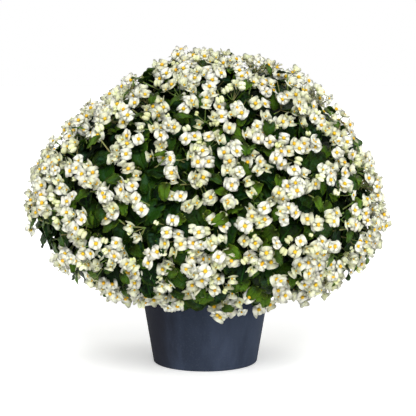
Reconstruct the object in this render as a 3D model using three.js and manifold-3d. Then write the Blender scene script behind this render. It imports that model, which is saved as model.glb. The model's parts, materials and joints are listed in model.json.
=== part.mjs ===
// A potted hybrid begonia: a dense dome of heart-shaped leaves, covered all over with
// sprays of white single flowers, growing in a plain tapered planter.
// Units are millimetres, +Z is up, and the origin is the centre of the planter's flat underside.
import * as THREE from "three";
import { mergeVertices } from "three/addons/utils/BufferGeometryUtils.js";
import Module from "manifold-3d";

// Driving dimensions of the planter
const POT_HEIGHT = 240;
const POT_RIM_RADIUS = 150;
const POT_BASE_RADIUS = 110;
const POT_WALL = 5;
const POT_FLOOR = 6;
const POT_EDGE_ROUND = 4;
const POT_LIP_HEIGHT = 14;
const POT_LIP_PROUD = 4;
const POT_SIDES = 32;
const DRAIN_HOLES = 5;
const DRAIN_HOLE_RADIUS = 7;
const DRAIN_CIRCLE_RADIUS = 62;
const DRAIN_HOLE_SIDES = 8;

// Driving dimensions of the potting soil
const SOIL_LEVEL = 212;
const SOIL_MOUND = 10;
const SOIL_GAP = 0.4;

// Driving dimensions of the leafy dome: its surface lies just under the highest petals.
// Depths below are measured inwards from this surface.
const DOME_CENTRE_Z = 334;
const DOME_RADIUS = 372;
const DOME_RISE = 325;
const DOME_DROP = 178;
const CROWN_POWER = 1.7;
const SKIRT_POWER = 2.1;
const LOW_SIDE_FULLNESS = 0.09;
const DOME_WAVES = [
  { size: 0.014, lobes: 2, phase: 0.6, slant: 0 },
  { size: 0.016, lobes: 3, phase: 2.2, slant: 1 },
  { size: 0.012, lobes: 5, phase: 0, slant: -3 },
];
const ROW_STEP = 0.87;

// Canopy: the inner mass of foliage that leaves and sprays grow from
const CANOPY_DEPTH = 98;
const CANOPY_THICKNESS = 24;
const CANOPY_HEM_DEPTH = 46;
const CANOPY_HEM_THICKNESS = 12;
const CANOPY_SIDES = 18;
const CANOPY_TIERS = 6;
const CANOPY_LOWEST = -36;
const CANOPY_ROUGHNESS = 2;
const ROOT_LOWEST = -29;

// Stems in the soil
const STEM_COUNT = 7;
const STEM_RADIUS = 7;
const STEM_SIDES = 5;
const STEM_FOOT_CIRCLE = 62;
const STEM_FOOT_Z = 150;
const STEM_LEAN_ELEVATION = 38;
const STEM_FIRST_TURN = 0.3;
const STEM_HOLE_GAP = 0.6;

// Leaves; elevations are in degrees and turns in radians
const LEAF_LENGTH = 98;
const LEAF_LENGTH_SPREAD = 12;
const LEAF_DEPTH = 37;
const LEAF_DEPTH_SPREAD = 3;
const LEAF_RISE = 0.32;
const LEAF_RISE_SPREAD = 0.22;
const LEAF_ROLL_SPREAD = 0.25;
const LEAF_THICKNESS = 2.6;
const LEAF_LOWEST = -41;
const LEAVES_PER_SHOOT = 4;
const LEAF_STALK_RADIUS = 2.6;
const LEAF_SETBACK = 10;
const SKIRT_LEAVES = 24;
const SKIRT_LEAF_SCALE = 0.75;
const SKIRT_ELEVATION = -26;
const LEAF_ATTEMPTS = 18;
const LEAF_SWING_STEP = 0.1;
const LEAF_SINK_STEP = 7;
const LEAF_SINK_LIMIT = 31;

// Sprays of flowers
const SPRAY_SPACING = 208;
const SPRAY_LOWEST = -46;
const FLOWER_SPACING = 88;
const FLOWER_LOWEST = -49;
const FLOWER_DIAMETER = 92;
const FLOWER_SIZE_SPREAD = 0.12;
const FLOWER_DEPTH = 6;
const FLOWER_DEPTH_SPREAD = 6;
const FLOWER_LEAN_SPREAD = 0.25;
const FLOWER_LIFT = 0.25;
const FLOWER_LOW_LIFT = 0.7;
const BUD_LENGTH = 44;
const BUD_EVERY = 7;
const FLOWER_ATTEMPTS = 16;
const FLOWER_SPIN_STEP = 0.5;
const FLOWER_SHIFT_STEP = 3;
const FLOWER_SHIFT_LIMIT = 10;
const HUB_DEPTH = 24;
const HUB_RADIUS = 8;
const BRANCH_RADIUS = 2.1;
const STALK_RADIUS = 4.6;
const STALK_SIDES = 3;
const STALK_GAP = 0.5;

const GOLDEN_ANGLE = Math.PI * (3 - Math.sqrt(5));
const UP = new THREE.Vector3(0, 0, 1);

const material = (name, color, roughness) =>
  new THREE.MeshStandardMaterial({ name, color, roughness, metalness: 0 });
const potMaterial = material("slate_planter", 0x363c4b, 0.6);
const soilMaterial = material("potting_soil", 0x2e2219, 0.95);
const leafMaterial = material("begonia_leaf", 0x2b4f1e, 0.4);
const petalMaterial = material("begonia_petal", 0xf3f1e4, 0.55);

const wasm = await Module();
wasm.setup();

// Random numbers from -1 to 1 that are the same on every run
function seeded(seed) {
  const modulus = 2147483647;
  let state = seed;
  return () => {
    state = (state * 48271) % modulus;
    return (2 * state) / modulus - 1;
  };
}

// A geometry with one vertex at each place
function mergedByPosition(geometry) {
  const bare = new THREE.BufferGeometry();
  bare.setAttribute("position", geometry.getAttribute("position"));
  if (geometry.index) bare.setIndex(geometry.index);
  return mergeVertices(bare, 1e-4);
}

// Conversions between three.js geometries and solids that can be joined and cut
function solidOf(geometry) {
  const merged = mergedByPosition(geometry);
  return new wasm.Manifold(
    new wasm.Mesh({
      numProp: 3,
      vertProperties: new Float32Array(merged.attributes.position.array),
      triVerts: new Uint32Array(merged.index.array),
    }),
  );
}

function geometryOf(solid) {
  const mesh = solid.getMesh();
  return new THREE.BufferGeometry()
    .setAttribute("position", new THREE.BufferAttribute(new Float32Array(mesh.vertProperties), 3))
    .setIndex(new THREE.BufferAttribute(new Uint32Array(mesh.triVerts), 1));
}

// Joins solids two by two, so that the pieces stay small for as long as possible
function joined(solids) {
  let row = solids;
  while (row.length > 1) {
    const next = [];
    for (let i = 0; i < row.length; i += 2) {
      next.push(i + 1 < row.length ? row[i].add(row[i + 1]) : row[i]);
    }
    row = next;
  }
  return row[0];
}

// The one body with the most volume, without the loose scraps that a cut may leave
function largestBody(solid) {
  return solid.decompose().reduce((a, b) => (a.volume() > b.volume() ? a : b));
}

// Whether a solid crosses any of some others
function crosses(solid, others) {
  const box = solid.boundingBox();
  return others.some((other) => {
    const { min, max } = other.boundingBox();
    const apart = [0, 1, 2].some((k) => box.min[k] > max[k] || box.max[k] < min[k]);
    return !apart && !solid.intersect(other).isEmpty();
  });
}

function namedMesh(name, geometry, meshMaterial) {
  const mesh = new THREE.Mesh(geometry.toNonIndexed(), meshMaterial);
  mesh.geometry.computeVertexNormals();
  mesh.name = name;
  return mesh;
}

// A straight prism from one point to another, with its own radius at each end
function prism(from, to, sides, fromRadius, toRadius) {
  const axis = to.clone().sub(from);
  const bar = new THREE.CylinderGeometry(toRadius, fromRadius, axis.length(), sides, 1);
  bar.applyQuaternion(
    new THREE.Quaternion().setFromUnitVectors(new THREE.Vector3(0, 1, 0), axis.clone().normalize()),
  );
  const middle = from.clone().add(to).multiplyScalar(0.5);
  return bar.translate(middle.x, middle.y, middle.z);
}

// The dome's surface. Directions are seen from DOME_CENTRE_Z: an elevation above the
// horizon and an azimuth round +Z, both in radians.
function domeSwell(elevation, azimuth) {
  const lowSide = LOW_SIDE_FULLNESS * Math.max(0, -Math.sin(elevation)) * Math.cos(azimuth);
  const waves = DOME_WAVES.reduce(
    (sum, { size, lobes, phase, slant }) =>
      sum + size * Math.sin(lobes * azimuth + phase + slant * elevation),
    0,
  );
  return 1 + lowSide + Math.cos(elevation) * waves;
}

function domeRadius(elevation, azimuth) {
  const across = Math.cos(elevation) / DOME_RADIUS;
  const rising = Math.sin(elevation) > 0;
  const along = Math.abs(Math.sin(elevation)) / (rising ? DOME_RISE : DOME_DROP);
  const power = rising ? CROWN_POWER : SKIRT_POWER;
  return domeSwell(elevation, azimuth) * (across ** power + along ** power) ** (-1 / power);
}

function domePoint(elevation, azimuth, depth) {
  const radius = domeRadius(elevation, azimuth) - depth;
  return new THREE.Vector3(
    radius * Math.cos(elevation) * Math.cos(azimuth),
    radius * Math.cos(elevation) * Math.sin(azimuth),
    DOME_CENTRE_Z + radius * Math.sin(elevation),
  );
}

function domeNormal(elevation, azimuth) {
  const step = 0.02;
  const below = domePoint(elevation - step, azimuth, 0);
  const above = domePoint(elevation + step, azimuth, 0);
  const around = new THREE.Vector3(-Math.sin(azimuth), Math.cos(azimuth), 0);
  return around.cross(above.sub(below)).normalize();
}

// The elevations of rings that lie at equal steps down the dome's side
function ringElevations(spacing, lowest) {
  const fine = 400;
  const elevationAt = (k) => Math.PI / 2 + ((lowest - Math.PI / 2) * k) / fine;
  const travelled = [0];
  for (let k = 1; k <= fine; k += 1) {
    const stride = domePoint(elevationAt(k), 0, 0).distanceTo(domePoint(elevationAt(k - 1), 0, 0));
    travelled.push(travelled[k - 1] + stride);
  }
  const rings = Math.round(travelled[fine] / (ROW_STEP * spacing));
  return Array.from({ length: rings }, (_, ring) => {
    const target = ((ring + 0.5) * travelled[fine]) / rings;
    return elevationAt(travelled.findIndex((length) => length >= target));
  });
}

// Evenly spread sites on the dome: each ring has sites at equal steps round it, and each
// site is moved a little at random.
function domeSites(spacing, lowest, looseness, seed) {
  const random = seeded(seed);
  const floor = THREE.MathUtils.degToRad(lowest);
  return ringElevations(spacing, floor).flatMap((elevation, ring) => {
    const radius = domeRadius(elevation, 0);
    const ringRadius = radius * Math.cos(elevation);
    const count = Math.round((2 * Math.PI * ringRadius) / spacing);
    return Array.from({ length: count }, (_, k) => {
      const aside = (looseness * spacing * random()) / ringRadius;
      const down = (looseness * spacing * random()) / radius;
      return {
        azimuth: (2 * Math.PI * k) / count + ring * GOLDEN_ANGLE + aside,
        elevation: Math.max(floor, elevation + down),
      };
    });
  });
}

// A frame at a point: Z faces outwards, leaning up to the light, and X runs across it
function facingFrame(point, normal, leanAside, leanAlong, spin) {
  const facing = normal.clone();
  facing.z += FLOWER_LIFT + FLOWER_LOW_LIFT * Math.max(0, -normal.z);
  facing.normalize();
  const across = new THREE.Vector3().crossVectors(UP, facing).normalize();
  const along = new THREE.Vector3().crossVectors(facing, across);
  const lean = new THREE.Matrix4().makeRotationFromEuler(new THREE.Euler(leanAlong, leanAside, 0));
  return new THREE.Matrix4()
    .makeBasis(across, along, facing)
    .multiply(lean)
    .multiply(new THREE.Matrix4().makeRotationZ(spin))
    .setPosition(point);
}

// Triangles between two closed rings of points that run the same way round
function stitch(triangles, outer, inner) {
  let i = 0;
  let j = 0;
  while (i < outer.length || j < inner.length) {
    const outerNext = (i + 1) / outer.length;
    const innerNext = (j + 1) / inner.length;
    const a = outer[i % outer.length];
    const b = inner[j % inner.length];
    if (j >= inner.length || (i < outer.length && outerNext <= innerNext)) {
      triangles.push(a, outer[(i + 1) % outer.length], b);
      i += 1;
    } else {
      triangles.push(a, inner[(j + 1) % inner.length], b);
      j += 1;
    }
  }
}

function meshOfPoints(points, triangles) {
  return new THREE.BufferGeometry()
    .setAttribute("position", new THREE.Float32BufferAttribute(points.flat(), 3))
    .setIndex(triangles);
}

// A three-sided ring round a point, square to the direction halfway between two others
function stalkRing(centre, radius, axis, otherAxis) {
  const square = axis.clone().normalize().add(otherAxis.clone().normalize()).normalize();
  const across = new THREE.Vector3(0.3, 1, 0).cross(square).normalize().multiplyScalar(radius);
  return [0, 1, 2].map((k) =>
    across
      .clone()
      .applyAxisAngle(square, (2 * Math.PI * k) / 3)
      .add(centre)
      .toArray(),
  );
}

// A head with an upper face, closed underneath by a three-sided stalk that runs to `foot`.
// The head faces +Z, and its rim is the first rimCount points.
function headOnStalk(upperPoints, rimCount, upperTriangles, collarCentre, foot, radii) {
  const rim = Array.from({ length: rimCount }, (_, k) => k);
  const upwards = collarCentre.clone().sub(foot);
  const collar = stalkRing(collarCentre, radii[0], upwards, UP);
  const end = stalkRing(foot, radii[1], upwards, upwards);
  const collarIds = [0, 1, 2].map((k) => upperPoints.length + k);
  const endIds = collarIds.map((id) => id + 3);
  const start = nearestStart(upperPoints.slice(0, rimCount), collar[0]);
  const turned = [...rim.slice(start), ...rim.slice(0, start)];
  const lower = [];
  stitch(lower, turned, collarIds);
  stitch(lower, collarIds, endIds);
  lower.push(...endIds);
  for (let k = 0; k < lower.length; k += 3) {
    [lower[k], lower[k + 1]] = [lower[k + 1], lower[k]];
  }
  return meshOfPoints([...upperPoints, ...collar, ...end], [...upperTriangles, ...lower]);
}

// The rim point that lies in the same direction from the middle as a given point
function nearestStart(rimPoints, [x, y]) {
  const turn = ([px, py]) => (px * x + py * y) / Math.hypot(px, py);
  return rimPoints.reduce((best, point, k) => (turn(point) > turn(rimPoints[best]) ? k : best), 0);
}

// One open flower, one unit across and facing +Z: two broad petals and two narrow ones,
// cupped, round a boss of stamens, on a branch that runs to `foot`.
function flowerGeometry(foot) {
  const half = [
    [-38, 0.45, 0.07],
    [0, 0.5, 0.1],
    [38, 0.45, 0.07],
    [63, 0.26, 0.02],
    [90, 0.43, 0.11],
    [117, 0.26, 0.02],
  ];
  const outline = [0, 180].flatMap((turn) => half.map(([angle, r, z]) => [angle + turn, r, z]));
  const boss = [0, 120, 240].map((angle) => [angle, 0.1, 0.03]);
  const polar = ([angle, r, z]) => {
    const a = THREE.MathUtils.degToRad(angle);
    return [r * Math.cos(a), r * Math.sin(a), z];
  };
  const points = [...outline.map(polar), ...boss.map(polar), [0, 0, 0.13]];
  const rim = outline.map((_, k) => k);
  const bossRing = boss.map((_, k) => rim.length + k);
  const triangles = [];
  stitch(triangles, rim, bossRing);
  bossRing.forEach((a, k) => triangles.push(a, bossRing[(k + 1) % 3], points.length - 1));
  const width = BRANCH_RADIUS / FLOWER_DIAMETER;
  const collarCentre = new THREE.Vector3(0, 0, -0.07);
  return headOnStalk(points, rim.length, triangles, collarCentre, foot, [1.2 * width, width]);
}

// One closed bud, one unit long and facing +Z, flat like two shells set face to face
function budGeometry(foot) {
  const points = [
    [0.38, -0.05, 0.1],
    [0.12, 0.22, 0.06],
    [-0.36, 0.05, 0.1],
    [-0.12, -0.22, 0.06],
    [0.3, 0.02, 0.5],
    [-0.3, -0.02, 0.5],
  ];
  const triangles = [0, 1, 4, 1, 5, 4, 1, 2, 5, 2, 3, 5, 3, 4, 5, 3, 0, 4];
  const width = BRANCH_RADIUS / BUD_LENGTH;
  const collarCentre = new THREE.Vector3(0, 0, -0.3);
  return headOnStalk(points, 4, triangles, collarCentre, foot, [1.2 * width, width]);
}

// One leaf, its blade one unit long along +X and facing +Z: a lopsided heart with a waved
// edge, arched from base to tip, on a leaf stalk that runs to `foot`.
function leafGeometry(foot) {
  const heart = [
    [0.08, -0.03, 0.0],
    [-0.1, -0.24, 0.05],
    [0.14, -0.46, -0.01],
    [0.5, -0.42, 0.05],
    [0.8, -0.24, -0.06],
    [1.0, 0.03, -0.15],
    [0.82, 0.3, -0.02],
    [0.48, 0.5, 0.03],
    [0.16, 0.48, 0.06],
    [-0.12, 0.25, -0.02],
  ];
  const rib = [0.34, 0.0, 0.06];
  const shifted = heart.map(([x, y, z]) => [x - rib[0], y, z]);
  const thickness = LEAF_THICKNESS / LEAF_LENGTH;
  const triangles = shifted.flatMap((_, k) => [k, (k + 1) % shifted.length, shifted.length]);
  const points = [...shifted, [0, 0, rib[2]]];
  const width = LEAF_STALK_RADIUS / LEAF_LENGTH;
  const collarCentre = new THREE.Vector3(0, 0, rib[2] - thickness - 0.6 * width);
  return headOnStalk(points, shifted.length, triangles, collarCentre, foot, [width, width]);
}

// The planter: a tapered shell with a lip at the rim and drainage holes in its floor
function potSolid() {
  const slope = (POT_RIM_RADIUS - POT_BASE_RADIUS) / POT_HEIGHT;
  const outerRadius = (z) => POT_BASE_RADIUS + slope * z;
  const lipFoot = POT_HEIGHT - POT_LIP_HEIGHT;
  const profile = [
    [0, 0],
    [POT_BASE_RADIUS - POT_EDGE_ROUND, 0],
    [outerRadius(POT_EDGE_ROUND), POT_EDGE_ROUND],
    [outerRadius(lipFoot), lipFoot],
    [outerRadius(lipFoot) + POT_LIP_PROUD, lipFoot + 3],
    [POT_RIM_RADIUS + POT_LIP_PROUD, POT_HEIGHT],
    [POT_RIM_RADIUS - POT_WALL, POT_HEIGHT],
    [outerRadius(POT_FLOOR) - POT_WALL, POT_FLOOR],
    [0, POT_FLOOR],
  ].map(([r, z]) => new THREE.Vector2(r, z));
  const shell = new THREE.LatheGeometry(profile, POT_SIDES).rotateX(Math.PI / 2);
  let pot = solidOf(shell);
  for (let k = 0; k < DRAIN_HOLES; k += 1) {
    const angle = (2 * Math.PI * k) / DRAIN_HOLES;
    const x = DRAIN_CIRCLE_RADIUS * Math.cos(angle);
    const y = DRAIN_CIRCLE_RADIUS * Math.sin(angle);
    const bottom = new THREE.Vector3(x, y, -1);
    const top = new THREE.Vector3(x, y, POT_FLOOR + 1);
    const drill = prism(bottom, top, DRAIN_HOLE_SIDES, DRAIN_HOLE_RADIUS, DRAIN_HOLE_RADIUS);
    pot = pot.subtract(solidOf(drill));
  }
  return pot;
}

// Stems: the middle one stands upright, and the others lean out like spokes
function stemLines() {
  return Array.from({ length: STEM_COUNT }, (_, k) => {
    const middle = k === 0;
    const azimuth = (2 * Math.PI * k) / (STEM_COUNT - 1) + STEM_FIRST_TURN;
    const elevation = THREE.MathUtils.degToRad(middle ? 90 : STEM_LEAN_ELEVATION);
    const footRadius = middle ? 0 : STEM_FOOT_CIRCLE;
    return {
      foot: new THREE.Vector3(
        footRadius * Math.cos(azimuth),
        footRadius * Math.sin(azimuth),
        STEM_FOOT_Z,
      ),
      head: canopyPoint(elevation, azimuth, 0.5),
    };
  });
}

// The soil: fills the planter to a low mound, with a plain hole round each stem
function soilSolid() {
  const slope = (POT_RIM_RADIUS - POT_BASE_RADIUS) / POT_HEIGHT;
  const innerRadius = (z) => POT_BASE_RADIUS + slope * z - POT_WALL - SOIL_GAP;
  const floor = POT_FLOOR + SOIL_GAP;
  const profile = [
    [0, floor],
    [innerRadius(floor), floor],
    [innerRadius(SOIL_LEVEL), SOIL_LEVEL],
    [0.6 * innerRadius(SOIL_LEVEL), SOIL_LEVEL + 0.8 * SOIL_MOUND],
    [0, SOIL_LEVEL + SOIL_MOUND],
  ].map(([r, z]) => new THREE.Vector2(r, z));
  let soil = solidOf(new THREE.LatheGeometry(profile, POT_SIDES).rotateX(Math.PI / 2));
  const holeRadius = STEM_RADIUS + STEM_HOLE_GAP;
  for (const { foot, head } of stemLines()) {
    const along = head.clone().sub(foot).normalize();
    const bottom = foot.clone().addScaledVector(along, -2 * STEM_HOLE_GAP);
    soil = soil.subtract(solidOf(prism(bottom, head, STEM_SIDES, holeRadius, holeRadius)));
  }
  return soil;
}

// The canopy's depth below the dome's surface, and its thickness, which both get less
// towards its lower hem
function canopyLayer(elevation) {
  const down = THREE.MathUtils.clamp(elevation / THREE.MathUtils.degToRad(CANOPY_LOWEST), 0, 1);
  return {
    depth: THREE.MathUtils.lerp(CANOPY_DEPTH, CANOPY_HEM_DEPTH, down),
    thickness: THREE.MathUtils.lerp(CANOPY_THICKNESS, CANOPY_HEM_THICKNESS, down),
  };
}

function canopyPoint(elevation, azimuth, partWay) {
  const { depth, thickness } = canopyLayer(elevation);
  return domePoint(elevation, azimuth, depth + partWay * thickness);
}

// The canopy: a rough shell below the flowers and leaves, open underneath over the pot
function canopySolid() {
  const random = seeded(77);
  const lowest = THREE.MathUtils.degToRad(CANOPY_LOWEST);
  const tiers = Array.from(
    { length: CANOPY_TIERS + 1 },
    (_, tier) => Math.PI / 2 + ((lowest - Math.PI / 2) * tier) / CANOPY_TIERS,
  );
  const outer = tiers.map((elevation) => canopyPoint(elevation, 0, 0));
  const inner = tiers
    .filter((_, tier) => tier % 2 === 0)
    .map((elevation) => canopyPoint(elevation, 0, 1));
  const profile = [...inner, ...outer.reverse()].map(
    ({ x, z }) => new THREE.Vector2(x < 1 ? 0 : x, z),
  );
  const shell = new THREE.LatheGeometry(profile, CANOPY_SIDES).rotateX(Math.PI / 2);
  const merged = mergedByPosition(shell);
  const position = merged.getAttribute("position");
  const centre = new THREE.Vector3(0, 0, DOME_CENTRE_Z);
  for (let k = 0; k < position.count; k += 1) {
    const arm = new THREE.Vector3().fromBufferAttribute(position, k).sub(centre);
    const { elevation, azimuth } = bearing(arm);
    const swell = domeSwell(elevation, azimuth) / domeSwell(elevation, 0);
    arm.setLength(arm.length() * swell + CANOPY_ROUGHNESS * random());
    position.setXYZ(k, arm.x, arm.y, arm.z + DOME_CENTRE_Z);
  }
  return solidOf(merged);
}

// Where a point lies as seen from the middle of the dome
function bearing(arm) {
  return { elevation: Math.asin(arm.z / arm.length()), azimuth: Math.atan2(arm.y, arm.x) };
}

function bearingOf(point) {
  return bearing(point.clone().sub(new THREE.Vector3(0, 0, DOME_CENTRE_Z)));
}

// The place in the canopy nearest to a site, where a stalk or leaf stalk is rooted
function canopyRoot({ elevation, azimuth }) {
  const lowest = THREE.MathUtils.degToRad(ROOT_LOWEST);
  return canopyPoint(Math.max(lowest, elevation), azimuth, 0.5);
}

// The main stalk of a spray, from its hub to its root in the canopy
function stalkPrism({ hub, root }, gap) {
  const inwards = root.clone().sub(hub).normalize();
  const end = root.clone().addScaledVector(inwards, gap);
  return prism(end, hub, STALK_SIDES, STALK_RADIUS + gap, HUB_RADIUS + gap);
}

// Each shoot ends in a spray of flowers, whose hub stands over the shoot's own leaves.
// Branches meet at a joint just inside the hub.
const shoots = domeSites(SPRAY_SPACING, SPRAY_LOWEST, 0.06, 11).map((site) => {
  const hub = domePoint(site.elevation, site.azimuth, HUB_DEPTH);
  const root = canopyRoot(site);
  const joint = hub.clone().lerp(root, 0.08);
  return { ...site, hub, root, joint, solids: [solidOf(stalkPrism({ hub, root }, 0))] };
});

// The frame of a leaf that points away from its shoot in the direction of `turn`
function leafFrame(shoot, turn, length, depth, roll, rise) {
  const normal = domeNormal(shoot.elevation, shoot.azimuth);
  const level = new THREE.Vector3().crossVectors(UP, normal).normalize();
  const aside = level.applyAxisAngle(normal, turn);
  const away = LEAF_SETBACK + 0.38 * length;
  const site = bearingOf(shoot.hub.clone().addScaledVector(aside, away));
  site.elevation = Math.max(site.elevation, THREE.MathUtils.degToRad(LEAF_LOWEST));
  const facing = domeNormal(site.elevation, site.azimuth);
  const tip = aside.clone().addScaledVector(facing, -aside.dot(facing)).normalize();
  const frame = new THREE.Matrix4()
    .makeBasis(tip, new THREE.Vector3().crossVectors(facing, tip), facing)
    .multiply(new THREE.Matrix4().makeRotationFromEuler(new THREE.Euler(roll, -rise, 0)))
    .scale(new THREE.Vector3(length, length, length))
    .setPosition(domePoint(site.elevation, site.azimuth, depth));
  return { frame, root: canopyRoot(site) };
}

function placedLeaf({ frame, root }) {
  const foot = root.clone().applyMatrix4(frame.clone().invert());
  return solidOf(leafGeometry(foot).applyMatrix4(frame));
}

// Where leaves are tried: in a whorl round the foot of each spray, pointing away from it,
// and in a skirt of leaves that hang down all round the planter.
function leafPlan() {
  const random = seeded(401);
  const whorls = shoots.flatMap((shoot) => {
    const firstTurn = Math.PI * random();
    return Array.from({ length: LEAVES_PER_SHOOT }, (_, k) => ({
      place: shoot,
      scale: 1,
      turn: firstTurn + (2 * Math.PI * (k + 0.15 * random())) / LEAVES_PER_SHOOT,
    }));
  });
  const elevation = THREE.MathUtils.degToRad(SKIRT_ELEVATION);
  const skirt = Array.from({ length: SKIRT_LEAVES }, (_, k) => {
    const azimuth = (2 * Math.PI * k) / SKIRT_LEAVES;
    const hub = domePoint(elevation, azimuth, HUB_DEPTH);
    return { place: { elevation, azimuth, hub }, turn: -Math.PI / 2, scale: SKIRT_LEAF_SCALE };
  });
  return [...skirt, ...whorls];
}

// Each leaf is turned and sunk little by little until it is clear of the sprays, the
// planter and the leaves before it.
function leafSolids(obstacles) {
  const random = seeded(402);
  const leaves = [];
  for (const { place, turn, scale } of leafPlan()) {
    const fullLength = scale * (LEAF_LENGTH + LEAF_LENGTH_SPREAD * random());
    const firstDepth = LEAF_DEPTH + LEAF_DEPTH_SPREAD * random();
    const roll = LEAF_ROLL_SPREAD * random();
    const rise = LEAF_RISE + LEAF_RISE_SPREAD * random();
    for (let attempt = 0; attempt < LEAF_ATTEMPTS; attempt += 1) {
      const swing = LEAF_SWING_STEP * attempt * (attempt % 2 === 0 ? 1 : -1);
      const depth = firstDepth + ((LEAF_SINK_STEP * attempt) % LEAF_SINK_LIMIT);
      const length = fullLength * (1 - 0.02 * attempt);
      const leaf = placedLeaf(leafFrame(place, turn + swing, length, depth, roll, rise));
      if (crosses(leaf, obstacles) || crosses(leaf, leaves)) continue;
      leaves.push(leaf);
      break;
    }
  }
  return leaves;
}

function stemSolids() {
  return stemLines().map(({ foot, head }) =>
    solidOf(prism(foot, head, STEM_SIDES, STEM_RADIUS, STEM_RADIUS)),
  );
}

function foliageGeometry(canopy, obstacles) {
  const holes = shoots.map((shoot) => solidOf(stalkPrism(shoot, STALK_GAP)));
  const grown = joined([canopy, ...stemSolids(), ...leafSolids(obstacles)]);
  return geometryOf(largestBody(grown.subtract(joined(holes))));
}

// A flower or bud in its place, on a branch that runs to a point
function placedHead(bud, frame, branchFoot) {
  const foot = branchFoot.clone().applyMatrix4(frame.clone().invert());
  return solidOf((bud ? budGeometry(foot) : flowerGeometry(foot)).applyMatrix4(frame));
}

// Grows the flowers and buds on the sprays, each one on the spray whose hub is nearest.
// It is spun and shifted a little until its head is clear of the heads before it, and its
// branch is clear of the other sprays.
function growFlowers(obstacles) {
  const random = seeded(909);
  const heads = [...obstacles];
  domeSites(FLOWER_SPACING, FLOWER_LOWEST, 0.11, 5).forEach((site, k) => {
    const normal = domeNormal(site.elevation, site.azimuth);
    const leanAside = FLOWER_LEAN_SPREAD * random();
    const leanAlong = FLOWER_LEAN_SPREAD * random();
    const firstSpin = Math.PI * random();
    const bud = k % BUD_EVERY === 3;
    const fullSize = (bud ? BUD_LENGTH : FLOWER_DIAMETER) * (1 + FLOWER_SIZE_SPREAD * random());
    const firstDepth = FLOWER_DEPTH + FLOWER_DEPTH_SPREAD * random();
    for (let attempt = 0; attempt < FLOWER_ATTEMPTS; attempt += 1) {
      const depth = firstDepth + ((FLOWER_SHIFT_STEP * attempt) % FLOWER_SHIFT_LIMIT);
      const spin = firstSpin + FLOWER_SPIN_STEP * attempt;
      const size = fullSize * (1 - 0.012 * attempt);
      const point = domePoint(site.elevation, site.azimuth, depth);
      const frame = facingFrame(point, normal, leanAside, leanAlong, spin);
      frame.scale(new THREE.Vector3(size, size, size));
      const head = placedHead(bud, frame, point.clone().addScaledVector(normal, -0.12 * size));
      if (crosses(head, heads)) continue;
      const nearer = (a, b) => (a.hub.distanceTo(point) < b.hub.distanceTo(point) ? a : b);
      const shoot = shoots.reduce(nearer);
      const whole = placedHead(bud, frame, shoot.joint);
      const strangers = shoots.filter((other) => other !== shoot);
      if (crosses(whole, [...obstacles, ...strangers.flatMap(({ solids }) => solids)])) continue;
      heads.push(head);
      shoot.solids.push(whole);
      break;
    }
  });
}

const pot = potSolid();
const soil = soilSolid();
const canopy = canopySolid();
growFlowers([pot, soil, canopy]);
const spraySolids = shoots.map(({ solids }) => largestBody(joined(solids)));
const begonia = new THREE.Group();
begonia.name = "potted_begonia";
begonia.add(namedMesh("pot", geometryOf(pot), potMaterial));
begonia.add(namedMesh("soil", geometryOf(soil), soilMaterial));
begonia.add(namedMesh("foliage", foliageGeometry(canopy, [pot, soil, ...spraySolids]), leafMaterial));
spraySolids.forEach((solid, k) => {
  const name = `flower_spray_${String(k + 1).padStart(2, "0")}`;
  begonia.add(namedMesh(name, geometryOf(solid), petalMaterial));
});

export default begonia;
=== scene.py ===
"""A potted hybrid begonia: a dome of heart-shaped leaves and white flowers in a slate planter.

Lengths are metres, +Z is up, and the origin is the centre of the planter's underside.
"""

import json
import math

import bmesh
import bpy
from bpy.props import FloatProperty, FloatVectorProperty, IntProperty, PointerProperty
from bpy.types import Operator, Panel, PropertyGroup
from mathutils import Euler, Matrix, Vector, kdtree, noise

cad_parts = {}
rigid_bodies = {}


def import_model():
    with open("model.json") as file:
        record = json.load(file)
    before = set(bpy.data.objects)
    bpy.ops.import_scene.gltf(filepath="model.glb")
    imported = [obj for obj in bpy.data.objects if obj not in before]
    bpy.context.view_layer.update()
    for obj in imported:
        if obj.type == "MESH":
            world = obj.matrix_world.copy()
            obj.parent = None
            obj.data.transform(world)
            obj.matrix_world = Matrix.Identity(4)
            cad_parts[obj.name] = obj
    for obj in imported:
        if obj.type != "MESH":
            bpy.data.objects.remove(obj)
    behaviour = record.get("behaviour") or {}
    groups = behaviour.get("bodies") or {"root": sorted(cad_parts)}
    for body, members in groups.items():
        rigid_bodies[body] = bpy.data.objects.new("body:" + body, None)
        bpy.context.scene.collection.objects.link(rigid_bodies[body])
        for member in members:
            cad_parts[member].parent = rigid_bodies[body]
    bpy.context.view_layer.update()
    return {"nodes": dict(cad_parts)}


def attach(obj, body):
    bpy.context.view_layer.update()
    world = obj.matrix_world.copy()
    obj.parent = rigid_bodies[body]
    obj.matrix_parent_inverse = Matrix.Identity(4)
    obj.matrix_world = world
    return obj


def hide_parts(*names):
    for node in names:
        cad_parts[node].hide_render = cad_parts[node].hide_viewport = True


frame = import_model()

bl_info = {
    "name": "Potted Begonia",
    "version": (1, 0, 0),
    "blender": (4, 5, 0),
    "location": "3D View > Sidebar > Begonia",
    "description": "Builds a planter, its soil, and a begonia in full flower",
    "category": "Add Mesh",
}

BODY = "root"
UP = Vector((0, 0, 1))
GOLDEN_ANGLE = math.pi * (3 - math.sqrt(5))
SPRAY_NODES = sorted(name for name in frame["nodes"] if name.startswith("flower_spray_"))

# The waves that make the dome a little uneven: share of its radius, lobes round it, phase, slant
DOME_WAVES = [(0.014, 2, 0.6, 0), (0.016, 3, 2.2, 1), (0.012, 5, 0.0, -3)]

# The powers of the dome's curve above and below its widest ring; a higher one is squarer
CROWN_POWER, SKIRT_POWER = 1.7, 2.1

# How far the crown lies to +X and stands up, and how far the low part stands out, in metres
CROWN_SHIFT, CROWN_FULLNESS, LOW_FULLNESS, LOW_CORNER = 0.014, 0.004, 0.04, 0.015

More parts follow.
